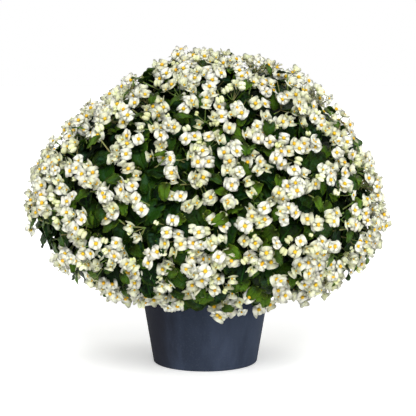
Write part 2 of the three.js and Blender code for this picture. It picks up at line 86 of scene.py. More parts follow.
# How much fuller the low part is towards +X, as a share of its radius
LOW_SIDE_FULLNESS = 0.09

# Swellings and hollows of the dome: elevation, azimuth and width in degrees, height in metres
DOME_LUMPS = [
    (50, 0, 14, 0.011), (47, 180, 18, -0.02), (84, 0, 8, -0.01),
    (-10, 0, 28, -0.012), (-20, 0, 13, 0.022), (-38, 0, 12, -0.022),
]

# The step from one ring of leaves or clusters to the next, as a share of their spacing
ROW_STEP = 0.87

# The sprays on the dome: spacing, lowest elevation in degrees, looseness, seed
SPRAY_SITES = (0.208, -46, 0.06, 11)

# Where only leaves show between the flowers, seen from the front eye point against an upright
# plane through the pot's middle: for each radius, the places across and up, in millimetres
FRONT_EYE = Vector((0, -3.2, 0.715))
GAPS_BY_RADIUS = {
    34: [(-224, 445), (122, 177)],
    29: [(-306, 265), (212, 346), (-189, 280)],
    25: [
        (-67, 327), (-119, 346), (292, 344), (-126, 166), (259, 278), (130, 380), (-196, 483),
        (33, 367),
    ],
    21: [
        (130, 276), (158, 203), (115, 454), (-186, 183), (-56, 181), (83, 344), (-24, 361),
        (-94, 388), (-139, 299), (237, 437), (81, 557), (-216, 403),
    ],
    18: [(-235, 339), (-110, 464), (246, 365), (312, 269), (-146, 435), (49, 477), (146, 529)],
    16: [
        (-41, 384), (-171, 155), (190, 485), (-62, 546), (-56, 462), (-108, 563), (155, 290),
        (67, 233), (270, 228), (-137, 527), (26, 454), (43, 594), (287, 258), (75, 373),
        (-50, 213),
    ],
    14: [
        (-303, 354), (82, 162), (-111, 196), (-239, 365), (-224, 186), (75, 316), (-277, 241),
        (-103, 216), (206, 278), (-122, 263), (91, 519), (-62, 521), (135, 487), (100, 395),
        (-191, 388), (56, 194), (-344, 271), (169, 540), (49, 550), (-41, 293),
    ],
}
LEAFY_GAPS = [
    (across / 1000, up / 1000, radius / 1000)
    for radius, places in GAPS_BY_RADIUS.items()
    for across, up in places
]

# How deep into the picture the dome's sides and its back begin
SIDE_STARTS, BACK_STARTS = -0.17, 0.05

# Parts of a shape, by the number that its faces carry, and a number that stands for them all
PETAL, STAMENS, GREEN, STALK, EVERY_PART = 0, 1, 2, 3, -1

# Settings of the plant and its planter

UNITS = {"DISTANCE": "LENGTH", "ANGLE": "ROTATION"}


def number(name, default, description, subtype="NONE"):
    """A setting that is a number; a distance or an angle has its unit."""
    unit = UNITS.get(subtype, "NONE")
    return FloatProperty(
        name=name, description=description, default=default, subtype=subtype, unit=unit
    )


def tone(name, default, description):
    """A setting that is a colour."""
    return FloatVectorProperty(
        name=name, description=description, default=default, subtype="COLOR", size=3
    )


class DomeSettings(PropertyGroup):
    centre: number("Centre height", 0.334, "Height of the widest ring above the floor", "DISTANCE")
    radius: number("Radius", 0.372, "Radius of the dome at its widest ring", "DISTANCE")
    rise: number("Rise", 0.325, "Height of the dome above its widest ring", "DISTANCE")
    drop: number("Drop", 0.178, "Depth of the dome below its widest ring", "DISTANCE")


class PlanterSettings(PropertyGroup):
    height: number("Height", 0.24, "Height of the planter", "DISTANCE")
    rim_radius: number("Rim radius", 0.15, "Outer radius at the rim, without the lip", "DISTANCE")
    base_radius: number("Base radius", 0.11, "Outer radius at the floor", "DISTANCE")
    wall: number("Wall", 0.005, "Thickness of the planter's wall", "DISTANCE")
    colour: tone("Colour", (0.0295, 0.0385, 0.061), "Colour of the moulded plastic")


class LeafSettings(PropertyGroup):
    length: number("Leaf length", 0.057, "Length of a full-grown leaf", "DISTANCE")
    spacing: number("Leaf spacing", 0.047, "Distance from one outer leaf to the next", "DISTANCE")
    colour: tone("Colour", (0.0036, 0.0225, 0.001), "Colour of a full-grown leaf")
    young_colour: tone("Young colour", (0.088, 0.225, 0.008), "Colour of a young leaf")


class FlowerSettings(PropertyGroup):
    diameter: number("Flower diameter", 0.0262, "Width of an open flower", "DISTANCE")
    spacing: number("Cluster spacing", 0.053, "Distance from one cluster to the next", "DISTANCE")
    lean: number("Lean", 0.44, "How far flowers turn away from their cluster's middle", "ANGLE")
    seed: IntProperty(
        name="Seed", description="Number that the random sizes and turns start from", default=7
    )
    petal_colour: tone("Petal colour", (0.83, 0.83, 0.69), "Colour of an open petal")
    stamen_colour: tone("Stamen colour", (0.64, 0.4, 0.004), "Colour of the stamens")


class StageSettings(PropertyGroup):
    distance: number("Camera distance", 3.2, "Distance in front of the planter", "DISTANCE")
    eye_height: number("Camera height", 0.715, "Height above the floor", "DISTANCE")
    tilt: number("Camera tilt", math.radians(6.9), "How far the camera looks down", "ANGLE")
    lens: number("Lens", 132.06, "Focal length in mm on a 36 mm sensor", "DISTANCE_CAMERA")
    sky: number("Sky light", 0.5, "Strength of the even light from above")
    lamp: number("Lamp", 2.8, "Strength of the broad soft lamp in front")


class BegoniaSettings(PropertyGroup):
    dome: PointerProperty(type=DomeSettings, name="Dome", description="The plant's outer form")
    planter: PointerProperty(type=PlanterSettings, name="Planter", description="The planter")
    leaves: PointerProperty(type=LeafSettings, name="Leaves", description="The leaves")
    flowers: PointerProperty(type=FlowerSettings, name="Flowers", description="The flowers")
    stage: PointerProperty(type=StageSettings, name="Stage", description="Floor, light, camera")


def settings():
    return bpy.context.scene.begonia


# The plant's form


def seeded(seed):
    """Random numbers from -1 to 1 that are the same on every run."""
    modulus, factor = 2147483647, 48271
    state = seed
    while True:
        state = state * factor % modulus
        yield 2 * state / modulus - 1


def jumble(draw):
    """A vector of three random numbers."""
    return Vector((next(draw), next(draw), next(draw)))


def dome_swell(elevation, azimuth):
    """How far the dome stands out in one direction, as a share of its even form."""
    low_side = LOW_SIDE_FULLNESS * max(0, -math.sin(elevation)) * math.cos(azimuth)
    waves = sum(
        size * math.sin(lobes * azimuth + phase + slant * elevation)
        for size, lobes, phase, slant in DOME_WAVES
    )
    return 1 + low_side + math.cos(elevation) * waves


def dome_radius(elevation, azimuth):
    dome = settings().dome
    across = abs(math.cos(elevation)) / dome.radius
    rising = math.sin(elevation) > 0
    along = abs(math.sin(elevation)) / (dome.rise if rising else dome.drop)
    power = CROWN_POWER if rising else SKIRT_POWER
    return dome_swell(elevation, azimuth) * (across**power + along**power) ** (-1 / power)


def ring_point(radius, azimuth, height):
    """A point at a distance from the Z axis, in one direction and at a height."""
    return Vector((radius * math.cos(azimuth), radius * math.sin(azimuth), height))


def heading(elevation, azimuth):
    """The direction that an elevation and an azimuth point in."""
    return ring_point(math.cos(elevation), azimuth, math.sin(elevation))


def dome_lumps(elevation, azimuth):
    """How far the swellings and hollows lift the dome's surface in one direction."""
    here = heading(elevation, azimuth)
    lifted = 0.0
    for lump_elevation, lump_azimuth, width, height in DOME_LUMPS:
        there = heading(math.radians(lump_elevation), math.radians(lump_azimuth))
        lifted += height * math.exp(-((here.angle(there) / math.radians(width)) ** 2))
    return lifted


def in_leafy_gap(point, reach, margin=0.0):
    """Whether a point of the front lies where only leaves show."""
    seen = FRONT_EYE + (point - FRONT_EYE) * FRONT_EYE.y / (FRONT_EYE.y - point.y)
    return point.y < BACK_STARTS and any(
        math.hypot(seen.x - across, seen.z - up) < reach * radius + margin
        for across, up, radius in LEAFY_GAPS
    )


def dome_point(elevation, azimuth, depth):
    """A point at a depth below the dome's surface, seen from its centre."""
    height = math.sin(elevation)
    fuller = CROWN_FULLNESS if height > 0 else LOW_FULLNESS
    radius = dome_radius(elevation, azimuth) + fuller * abs(height) - depth
    radius += LOW_CORNER * max(0, math.sin(-2 * elevation)) + dome_lumps(elevation, azimuth)
    level = radius * math.cos(elevation)
    aside = CROWN_SHIFT * max(0, height) ** 2
    return Vector((
        level * math.cos(azimuth) + aside,
        level * math.sin(azimuth),
        settings().dome.centre + radius * height,
    ))


def dome_normal(elevation, azimuth):
    step = 0.02
    below = dome_point(elevation - step, azimuth, 0)
    above = dome_point(elevation + step, azimuth, 0)
    around = Vector((-math.sin(azimuth), math.cos(azimuth), 0))
    return around.cross(above - below).normalized()


def ring_elevations(spacing, lowest):
    """The elevations of rings that lie at equal steps down the dome's side."""
    fine = 400
    elevations = [math.pi / 2 + (lowest - math.pi / 2) * k / fine for k in range(fine + 1)]
    radii = [dome_radius(elevation, 0) for elevation in elevations]
    side = [Vector((r * math.cos(e), r * math.sin(e))) for r, e in zip(radii, elevations)]
    travelled = [0.0]
    for above, below in zip(side, side[1:]):
        travelled.append(travelled[-1] + (below - above).length)
    rings = round(travelled[-1] / (ROW_STEP * spacing))
    targets = [(ring + 0.5) * travelled[-1] / rings for ring in range(rings)]
    return [
        elevations[next(k for k, length in enumerate(travelled) if length >= target)]
        for target in targets
    ]


def dome_sites(spacing, lowest_degrees, looseness, seed):
    """Evenly spread elevations and azimuths on the dome, each moved a little at random."""
    draw = seeded(seed)
    lowest = math.radians(lowest_degrees)
    sites = []
    for ring, elevation in enumerate(ring_elevations(spacing, lowest)):
        radius = dome_radius(elevation, 0)
        ring_radius = radius * math.cos(elevation)
        count = max(1, round(2 * math.pi * ring_radius / spacing))
        for k in range(count):
            aside = looseness * spacing * next(draw) / ring_radius
            down = looseness * spacing * next(draw) / radius
            azimuth = 2 * math.pi * k / count + ring * GOLDEN_ANGLE + aside
            sites.append((max(lowest, elevation + down), azimuth))
    return sites


def spray_points(depth):
    """A point on each spray's main stalk, in the order of the CAD nodes."""
    return [dome_point(*site, depth) for site in dome_sites(*SPRAY_SITES)]


def level_across(facing):
    """A level direction square to another one."""
    across = UP.cross(facing)
    return across.normalized() if across.length > 1e-4 else Vector((1, 0, 0))


def frame_facing(facing, spin):
    """A turn whose Z axis is a given direction, spun about it."""
    across = level_across(facing)
    basis = Matrix((across, facing.cross(across), facing)).transposed()
    return (basis @ Matrix.Rotation(spin, 3, "Z")).to_euler()


def nearest(point, others):
    return min(range(len(others)), key=lambda k: (others[k] - point).length)


def bowed(start, end, sag, steps):
    """Points on a line from start to end that bows out by a vector in its middle."""
    shares = [k / steps for k in range(steps + 1)]
    return [start.lerp(end, share) + 4 * share * (1 - share) * sag for share in shares]


# Node trees


def arithmetic(operation, reflected=False):
    """A method of Value for one sign, also where the value stands behind the sign."""

    def method(self, other):
        return self.maths(operation, *((other, self) if reflected else (self, other)))

    return method


class Value:
    """A number that varies over a surface; arithmetic on it adds Math nodes."""

    __add__, __radd__ = arithmetic("ADD"), arithmetic("ADD", True)
    __sub__, __rsub__ = arithmetic("SUBTRACT"), arithmetic("SUBTRACT", True)
    __mul__, __rmul__ = arithmetic("MULTIPLY"), arithmetic("MULTIPLY", True)
    arctan2 = arithmetic("ARCTAN2")

    def __init__(self, nodes, socket):
        self.nodes = nodes
        self.socket = socket

    def maths(self, operation, *terms):
        made = self.nodes.add("ShaderNodeMath", {"operation": operation}, dict(enumerate(terms)))
        return Value(self.nodes, made.outputs[0])

    def __abs__(self):
        return self.maths("ABSOLUTE", self)

    def sine(self):
        return self.maths("SINE", self)

    def root(self):
        return self.maths("SQRT", self)


class Nodes:
    """A node tree under construction."""

    def __init__(self, tree):
        self.tree = tree

    def add(self, kind, node_settings=None, inputs=None):
        """A node of one kind, with its settings first and then what its sockets take."""
        made = self.tree.nodes.new(kind)
        for name, value in (node_settings or {}).items():
            if name == "stops":
                self.set_stops(made.color_ramp, value)
            else:
                setattr(made, name, value)
        for name, value in (inputs or {}).items():
            self.feed(made.inputs[name], value)
        return made

    def feed(self, socket, value):
        """Links a socket to a value, to a socket or to a node's first output, or sets it."""
        value = value.socket if isinstance(value, Value) else value
        value = value.outputs[0] if isinstance(value, bpy.types.Node) else value
        if isinstance(value, bpy.types.NodeSocket):
            self.tree.links.new(value, socket)
        else:
            socket.default_value = value

    def set_stops(self, ramp, stops):
        while len(ramp.elements) < len(stops):
            ramp.elements.new(1.0)
        for element, (position, colour) in zip(ramp.elements, stops):
            element.position = position
            element.color = (*colour, 1.0)

    def value(self, socket):
        return Value(self, socket)


class Finish(Nodes):
    """A material whose nodes end in one surface shader."""

    def __init__(self, name, **constants):
        self.material = bpy.data.materials.new(name)
        self.material.use_nodes = True
        super().__init__(self.material.node_tree)
        self.tree.nodes.clear()
        self.surface = self.add("ShaderNodeBsdfPrincipled")
        for socket, value in constants.items():
            self.surface.inputs[socket.replace("_", " ")].default_value = value
        self.add("ShaderNodeOutputMaterial", inputs={"Surface": self.surface})

    def place(self):
        """The point on the piece, in metres."""
        return self.add("ShaderNodeTexCoord").outputs["Object"]

    def split(self, vector):
        """A vector's three numbers."""
        parts = self.add("ShaderNodeSeparateXYZ", inputs={"Vector": vector})
        return [self.value(socket) for socket in parts.outputs]

    def attribute(self, name):
        """An attribute of the mesh, as three numbers."""
        read = self.add("ShaderNodeAttribute", {"attribute_name": name})
        return self.split(read.outputs["Vector"])

    def noise(self, scale, detail=2.0, where=None, roughness=0.5):
        inputs = {"Vector": where or self.place(), "Scale": scale}
        inputs.update({"Detail": detail, "Roughness": roughness})
        return self.value(self.add("ShaderNodeTexNoise", inputs=inputs).outputs["Fac"])

    def vector(self, x, y, z):
        return self.add("ShaderNodeCombineXYZ", inputs={"X": x, "Y": y, "Z": z}).outputs["Vector"]

    def between(self, value, low, high):
        """0 below the low value, 1 above the high one, and a smooth step from one to the other."""
        made = self.add(
            "ShaderNodeMapRange",
            {"interpolation_type": "SMOOTHSTEP"},
            {"Value": value, "From Min": low, "From Max": high},
        )
        return self.value(made.outputs["Result"])

    def mix(self, share, first, second):
        """One colour turning into another as the share goes from 0 to 1."""
        made = self.add("ShaderNodeMix", {"data_type": "RGBA"}, {0: share})
        for slot, colour in ((6, first), (7, second)):
            linked = isinstance(colour, bpy.types.NodeSocket)
            self.feed(made.inputs[slot], colour if linked else (*colour, 1.0))
        return made.outputs[2]

    def coats(self, colour, *coats):
        """A colour under coats of other colours, each as strong as its share."""
        for share, coat in coats:
            colour = self.mix(share, colour, coat)
        return colour

    def paint(self, colour, roughness, height=None, relief=0.0):
        """Feeds the surface; the height makes bumps as high as the relief."""
        self.feed(self.surface.inputs["Base Color"], colour)
        self.feed(self.surface.inputs["Roughness"], roughness)
        if height is not None:
            bumps = {"Height": height, "Distance": relief, "Strength": 1.0}
            self.feed(self.surface.inputs["Normal"], self.add("ShaderNodeBump", inputs=bumps))
        return self.material


class Grower(Nodes):
    """A Geometry Nodes tree with named inputs."""

    def __init__(self, name, inputs):
        super().__init__(bpy.data.node_groups.new(name, "GeometryNodeTree"))
        self.identifiers = {}
        face = self.tree.interface
        face.new_socket("Geometry", in_out="OUTPUT", socket_type="NodeSocketGeometry")
        face.new_socket("Geometry", in_out="INPUT", socket_type="NodeSocketGeometry")
        for label, kind, default in inputs:
            socket = face.new_socket(label, in_out="INPUT", socket_type=f"NodeSocket{kind}")
            if default is not None:
                socket.default_value = default
            self.identifiers[label] = socket.identifier
        self.given = self.add("NodeGroupInput").outputs
        self.result = self.add("NodeGroupOutput").inputs

    def named(self, name, data_type):
        """An attribute of the points."""
        made = self.add(
            "GeometryNodeInputNamedAttribute", {"data_type": data_type}, {"Name": name}
        )
        return made.outputs["Attribute"]

    def dress(self, geometry, finishes):
        """Ends the tree in plain faces, where those of each part have the part's finish."""
        shown = self.add("GeometryNodeRealizeInstances", inputs={"Geometry": geometry})
        for part, finish in finishes:
            inputs = {"Geometry": shown, "Material": finish}
            if part != EVERY_PART:
                inputs["Selection"] = self.add(
                    "FunctionNodeCompare",
                    {"data_type": "INT", "operation": "EQUAL"},
                    {"A": self.named("part", "INT"), "B": part},
                )
            shown = self.add("GeometryNodeSetMaterial", inputs=inputs)
        self.feed(self.result["Geometry"], shown)

    def grow(self, name, planting, values):
        """The piece that the tree makes from a planting, with the tree's inputs set by name."""
        piece = new_piece(name, planting.mesh(name))
        modifier = piece.modifiers.new("Grow", "NODES")
        modifier.node_group = self.tree
        for label, value in values.items():
            modifier[self.identifiers[label]] = value
        apply_modifiers(piece)
        materials = piece.data.materials
        for slot in reversed(range(len(materials))):
            if materials[slot] is None:
                materials.pop(index=slot)
        return piece


# Meshes


def new_mesh(name, points, faces):
    mesh = bpy.data.meshes.new(name)
    mesh.from_pydata([tuple(p) for p in points], [], faces)
    mesh.polygons.foreach_set("use_smooth", [True] * len(mesh.polygons))
    mesh.update()
    return mesh


def new_piece(name, mesh):
    piece = bpy.data.objects.new(name, mesh)
    bpy.context.scene.collection.objects.link(piece)
    return piece


def apply_modifiers(piece):
    """Turns a piece into the plain mesh that its modifiers make."""
    graph = bpy.context.evaluated_depsgraph_get()
    plain = bpy.data.meshes.new_from_object(piece.evaluated_get(graph), depsgraph=graph)
    piece.modifiers.clear()
    seed_mesh, piece.data = piece.data, plain
    bpy.data.meshes.remove(seed_mesh)
    plain.name = piece.name


def write_attribute(mesh, name, kind, values, domain="POINT"):
    attribute = mesh.attributes.new(name, kind, domain)
    if kind == "FLOAT_VECTOR":
        attribute.data.foreach_set("vector", [number for value in values for number in value])
    else:
        attribute.data.foreach_set("value", values)


def skin(rings):
    """The faces between rings of points, where an end ring may be a single point."""
    faces = []
    for low, high in zip(rings, rings[1:]):
        for k in range(max(len(low), len(high))):
            corners = [low[k % len(low)], low[(k + 1) % len(low)]]
            corners += [high[(k + 1) % len(high)], high[k % len(high)]]
            faces.append(list(dict.fromkeys(corners)))
    return faces


def lathe(name, profile, sides):
    """A closed solid turned from a profile that starts and ends on the axis."""
    points, rings = [], []
    for radius, height in profile:
        count = 1 if radius < 1e-6 else sides
        rings.append(list(range(len(points), len(points) + count)))
        points += [ring_point(radius, 2 * math.pi * k / sides, height) for k in range(count)]
    mesh = new_mesh(name, points, skin(rings))
    work = bmesh.new()
    work.from_mesh(mesh)
    bmesh.ops.remove_doubles(work, verts=work.verts, dist=1e-6)
    bmesh.ops.recalc_face_normals(work, faces=work.faces)
    work.to_mesh(mesh)
    work.free()
    return mesh


class Shape:
    """One small closed form that is repeated, with the place on the form stored on its points."""

    def __init__(self):
        self.points = []
        self.places = []
        self.faces = []
        self.parts = []

    def point(self, position, place):
        self.points.append(position)
        self.places.append(place)
        return len(self.points) - 1

    def face(self, corners, part):
        corners = list(dict.fromkeys(corners))
        if len(corners) > 2:
            self.faces.append(corners)
            self.parts.append(part)

    def blade(self, rows, thickness, turn):
        """A thin closed petal: rows of points from one edge to the other share their ends."""
        upper, lower = [], []
        for r, row in enumerate(rows):
            tops = [self.point(turn @ p, place) for p, place in row]
            unders = list(tops)
            if 0 < r < len(rows) - 1:
                for k in range(1, len(row) - 1):
                    position, place = row[k]
                    position = position - Vector((0, 0, thickness))
                    unders[k] = self.point(turn @ position, place)
            upper.append(tops)
            lower.append(unders)
        for r in range(len(rows) - 1):
            for k in range(len(rows[r]) - 1):
                for sheet in (upper, lower):
                    a, b = sheet[r][k], sheet[r][k + 1]
                    c, d = sheet[r + 1][k + 1], sheet[r + 1][k]
                    self.face([a, d, c, b] if sheet is upper else [a, b, c, d], PETAL)

    def knob(self, rings, sides, part, turn=None):
        """A closed rounded form: rings of (height, half width, half thickness), ends first."""
        turn = turn or Matrix.Identity(4)
        rows = []
        top = rings[-1][0]
        for height, wide, thick in rings:
            share = height / top if top else 0
            row = []
            for k in range(1 if wide < 1e-6 else sides):
                angle = 2 * math.pi * k / sides
                position = Vector((wide * math.cos(angle), thick * math.sin(angle), height))
                row.append(self.point(turn @ position, (share, math.cos(angle), 1)))
            rows.append(row)
        for corners in skin(rows):
            self.face(corners, part)

    def finished(self, name, collection):
        mesh = new_mesh(name, self.points, self.faces)
        write_attribute(mesh, "place", "FLOAT_VECTOR", self.places)
        write_attribute(mesh, "part", "INT", self.parts, "FACE")
        collection.objects.link(bpy.data.objects.new(name, mesh))


def discard(collection):
    for shape in list(collection.objects):
        mesh = shape.data
        bpy.data.objects.remove(shape)
        bpy.data.meshes.remove(mesh)
    bpy.data.collections.remove(collection)


# Flower shapes; their lengths are shares of an open flower's width

# A petal's rows: share of its length, and half width as a share of its greatest half width
BROAD_OUTLINE = [(0.04, 0.25), (0.24, 0.74), (0.52, 1.0), (0.8, 0.94), (0.94, 0.66), (1.0, 0.28)]
NARROW_OUTLINE = [(0.06, 0.34), (0.42, 0.9), (0.8, 0.92), (1.0, 0.36)]

# A petal's thickness, and how far its edges are drawn back at the tip
PETAL_THICKNESS, EDGE_PULL = 0.02, 0.05

# Where the two petals of a pair point
BROAD_PAIR = (0.0, math.pi)
NARROW_PAIR = (math.pi / 2, -math.pi / 2)

# Open forms: name, rise, curl, cup, unevenness, skew of the narrow petals, twist
OPEN_FORMS = [
    ("shape_0_flat", 0.16, 0.1, 0.25, 0.03, 0.0, 0.01),
    ("shape_1_cupped", 0.42, -0.2, 0.4, -0.04, 0.12, 0.015),
    ("shape_2_reflexed", 0.24, -0.45, 0.15, 0.05, -0.1, 0.02),
]

# The petals of a five-petalled flower: length and half width
FIVE_PETALS = [(0.52, 0.33), (0.42, 0.24), (0.5, 0.31), (0.44, 0.26), (0.36, 0.22)]

# A form's number is its place in the collection of shapes, which lies in the order of names
FLAT_KIND, FIVE_PETALLED_KIND = 0, 3
HALF_OPEN_KINDS = (4, 5)
BUD_KIND, SMALL_BUD_KIND = 6, 7


def add_petal(shape, outline, length, half_width, azimuth, rise, curl, cup, twist=0.0, crimp=0.0):
    """A petal that starts near the middle, rises, curls along its length and has a wavy edge."""
    rows = []
    reach, height, before = 0.0, 0.0, 0.0
    for k, (share, width) in enumerate(outline):
        angle = rise + curl * (share + before) / 2
        reach += (share - before) * length * math.cos(angle)
        height += (share - before) * length * math.sin(angle)
        before = share
        row = []
        for side in (-1, 0, 1):
            pulled = (1 - EDGE_PULL * abs(side) * share) * reach
            lifted = height + cup * half_width * (width * side) ** 2 * share
            lifted += (twist * side + crimp * abs(side) * (-1) ** k) * share * length
            position = Vector((pulled, half_width * width * side, lifted))
            row.append((position, (share, side * width, 0)))
        rows.append(row)
    shape.blade(rows, PETAL_THICKNESS, Matrix.Rotation(azimuth, 4, "Z"))


def add_boss(shape, radius, height):
    """The rounded knob of stamens in the middle of a flower."""
    outline = [(-0.02, 0), (0.0, 0.6), (0.5 * height, 1), (0.88 * height, 0.66), (height, 0)]
    shape.knob([(level, wide * radius, wide * radius) for level, wide in outline], 6, STAMENS)


def open_flower(collection, name, rise, curl, cup, uneven, skew, twist):
    """A single flower: two broad petals, two narrow ones and a boss of stamens."""
    shape = Shape()
    for sign, azimuth in zip((-1, 1), BROAD_PAIR):
        length, lift = 0.5 * (1 + sign * uneven), rise + 0.05 * sign
        add_petal(
            shape, BROAD_OUTLINE, length, 0.46, azimuth, lift, curl, cup, -sign * twist, 0.04
        )
    for sign, azimuth in zip((-1, 1), NARROW_PAIR):
        length, lift = 0.47 * (1 + sign * uneven), rise - 0.12
        add_petal(shape, NARROW_OUTLINE, length, 0.27, azimuth + skew, lift, curl, 0.3)
    add_boss(shape, 0.152, 0.2)
    shape.finished(name, collection)


def many_petalled_flower(collection, name):
    """A flower with five like petals, short yellow styles and a winged seed case behind."""
    shape = Shape()
    for k, (length, half_width) in enumerate(FIVE_PETALS):
        azimuth = 2 * math.pi * k / len(FIVE_PETALS) + 0.16 * (-1) ** k
        lift = 0.26 + 0.14 * (k % 2)
        add_petal(shape, BROAD_OUTLINE, length, half_width, azimuth, lift, -0.3, 0.3, 0.02)
    add_boss(shape, 0.085, 0.12)
    shape.knob([(-0.34, 0, 0), (-0.2, 0.13, 0.07), (-0.03, 0.1, 0.05), (0, 0, 0)], 6, GREEN)
    shape.finished(name, collection)


def half_open_flower(collection, name, rise, curl):
    """Two broad petals that are still cupped like a shell, with a hint of stamens."""
    shape = Shape()
    for k, azimuth in enumerate(BROAD_PAIR):
        lift = rise + 0.12 * k
        add_petal(shape, BROAD_OUTLINE, 0.54, 0.46, azimuth, lift, curl, 0.5, 0.03, 0.09)
    for azimuth in NARROW_PAIR:
        add_petal(shape, NARROW_OUTLINE, 0.36, 0.16, azimuth, rise + 0.2, curl, 0.3, 0, 0.08)
    add_boss(shape, 0.09, 0.12)
    shape.finished(name, collection)


def closed_bud(collection, name, width, plump):
    """A closed bud: two round petals that bulge apart along the slit between them."""
    shape = Shape()
    outline = [(-0.4, 0, 0), (-0.3, 0.5, 0.12), (0.02, 1, 0.2), (0.32, 0.88, 0.18), (0.44, 0, 0)]
    rings = [(height, wide * width, thick * plump) for height, wide, thick in outline]
    for side in (-1, 1):
        lobe = Matrix.Translation((0, 0.14 * side * plump, 0))
        shape.knob(rings, 7, PETAL, lobe @ Matrix.Rotation(-0.34 * side, 4, "X"))
    shape.knob([(-0.56, 0, 0), (-0.42, 0.12, 0.12), (-0.3, 0, 0)], 5, GREEN)
    shape.finished(name, collection)


def flower_shapes():
    """Every form of flower and bud, in the order of its number."""
    shapes = bpy.data.collections.new("flower_shapes")
    for form in OPEN_FORMS:
        open_flower(shapes, *form)
    many_petalled_flower(shapes, "shape_3_five_petals")
    half_open_flower(shapes, "shape_4_half_open", 0.28, 0.62)
    half_open_flower(shapes, "shape_5_just_open", 0.5, 0.7)
    closed_bud(shapes, "shape_6_bud", 0.46, 1.3)
    closed_bud(shapes, "shape_7_small_bud", 0.36, 1.0)
    return shapes


# Leaf shapes; their lengths are shares of a leaf's length

# Waves round a leaf's edge, where its middle lies between base and tip, and its thickness
LEAF_TEETH, LEAF_MIDDLE, LEAF_THICKNESS = 7, 0.4, 0.022

# Leaf forms: name, lopsidedness, arch along the midrib, fold at it, waves of the edge, phase
LEAF_FORMS = [
    ("leaf_0", 0.12, 0.28, 0.3, 0.03, 0.4),
    ("leaf_1", -0.14, 0.42, 0.18, 0.04, 1.7),
    ("leaf_2", 0.08, 0.16, 0.42, 0.05, 3.1),
    ("leaf_3", -0.06, 0.5, 0.32, 0.035, 4.4),
]


def leaf_rim(angle, lopsided, phase):
    """The edge of a heart-shaped leaf in one direction from its middle."""
    notch = math.exp(-((abs(angle) - math.pi) ** 2) / 0.07)
    tip = math.exp(-(angle**2) / 0.16)
    side = 1 + lopsided * math.sin(angle)
    wave = 0.023 * math.sin(LEAF_TEETH * angle + phase)
    return side * (0.44 + 0.1 * tip + 0.07 * math.cos(2 * angle) - 0.25 * notch + wave)


def leaf_shape(collection, name, lopsided, arch, fold, wave, phase):
    """One leaf, a unit long, from its heart-shaped base to its tip along +X."""
    shape = Shape()
    rim_count, ring_count, ring_share = 22, 11, 0.56

    def height(x, y, edge, angle):
        curved = -arch * (x - 0.1) ** 2 + fold * abs(y) - 0.35 * fold * y * y
        return curved + wave * edge * math.sin(5 * angle + phase)

    def ring(count, share, drop):
        made = []
        for k in range(count):
            angle = 2 * math.pi * k / count - math.pi
            radius = share * leaf_rim(angle, lopsided, phase)
            x = LEAF_MIDDLE + radius * math.cos(angle)
            y = radius * math.sin(angle)
            z = height(x, y, share**3, angle) - drop
            edge = 0.5 if share == 1 else 0
            made.append(shape.point(Vector((x, y, z)), (x, y, 1 if drop else edge)))
        return made

    rim = ring(rim_count, 1.0, 0)
    for drop in (0, LEAF_THICKNESS):
        inner = ring(ring_count, ring_share, drop)
        z = height(LEAF_MIDDLE, 0, 0, 0) - drop
        centre = shape.point(Vector((LEAF_MIDDLE, 0, z)), (LEAF_MIDDLE, 0, 1 if drop else 0))
        for k in range(ring_count):
            near, after = inner[k], inner[(k + 1) % ring_count]
            outer = [rim[(2 * k + step) % rim_count] for step in (0, 1, 2)]
            for corners in (
                [outer[0], outer[1], near],
                [outer[1], outer[2], after, near],
                [near, after, centre],
            ):
                shape.face(corners[::-1] if drop else corners, GREEN)
    shape.finished(name, collection)


def leaf_shapes():
    shapes = bpy.data.collections.new("leaf_shapes")
    for form in LEAF_FORMS:
        leaf_shape(shapes, *form)
    return shapes


# Materials and their tones, each in red, green and blue

# The last tone is painted shade for the planter's left side
PLANTER_TONES = {"scuff": (0.07, 0.078, 0.1), "painted_left_shade": (0.016, 0.0155, 0.02)}
SOIL_TONES = {
    "dark": (0.006, 0.004, 0.003), "crumb": (0.05, 0.032, 0.02), "damp": (0.012, 0.008, 0.006),
}
LEAF_TONES = {
    # The sheen tone is a painted highlight
    "lit": (0.015, 0.055, 0.003), "painted_sheen": (0.03, 0.085, 0.045), "vein": (0.03, 0.12, 0.015),
    "flush": (0.25, 0.08, 0.03), "rim": (0.13, 0.26, 0.012), "young rim": (0.27, 0.42, 0.03),
    # The deep tone is painted shade for the leaves deep in the dome
    "underside": (0.028, 0.08, 0.018), "deep": (0.0004, 0.0018, 0.0004),
}
PETAL_TONES = {
    "vein": (0.74, 0.75, 0.54), "cream": (0.64, 0.69, 0.28), "throat": (0.62, 0.68, 0.2),
    # The last tone is painted shade for the flowers whose shade is low
    "blush": (0.72, 0.5, 0.4), "painted_shade": (0.5, 0.5, 0.25),
}
WARM_STAMENS = (0.8, 0.28, 0.01)


def scaled(colour, factor):
    return tuple(factor * c for c in colour)


def planter_material():
    colour, tones = settings().planter.colour, PLANTER_TONES
    finish = Finish("slate_planter", Specular_IOR_Level=0.03)
    upright = finish.add(
        "ShaderNodeVectorMath", {"operation": "MULTIPLY"}, {0: finish.place(), 1: (1, 1, 0.3)}
    )
    clouds = finish.noise(11, 4, where=upright.outputs["Vector"], roughness=0.6)
    across = finish.split(finish.place())[0]
    # Painted shade: the planter's left (-X) side is darkened, fully beyond 65 mm from the middle,
    # its edge wavering with the clouds
    painted_left_shade = 1 - finish.between(across + 0.08 * clouds, -0.065, 0.0)
    specks = finish.noise(320)
    streaks = finish.noise(26, 3)
    base = finish.coats(
        scaled(colour, 0.8),
        (finish.between(clouds, 0.35, 0.68), scaled(colour, 1.4)),
        (0.2 * finish.between(specks, 0.52, 0.72), tones["scuff"]),
        (0.75 * painted_left_shade, tones["painted_left_shade"]),
    )
    return finish.paint(base, 0.62 + 0.14 * streaks, specks + 2 * clouds, 0.0004)


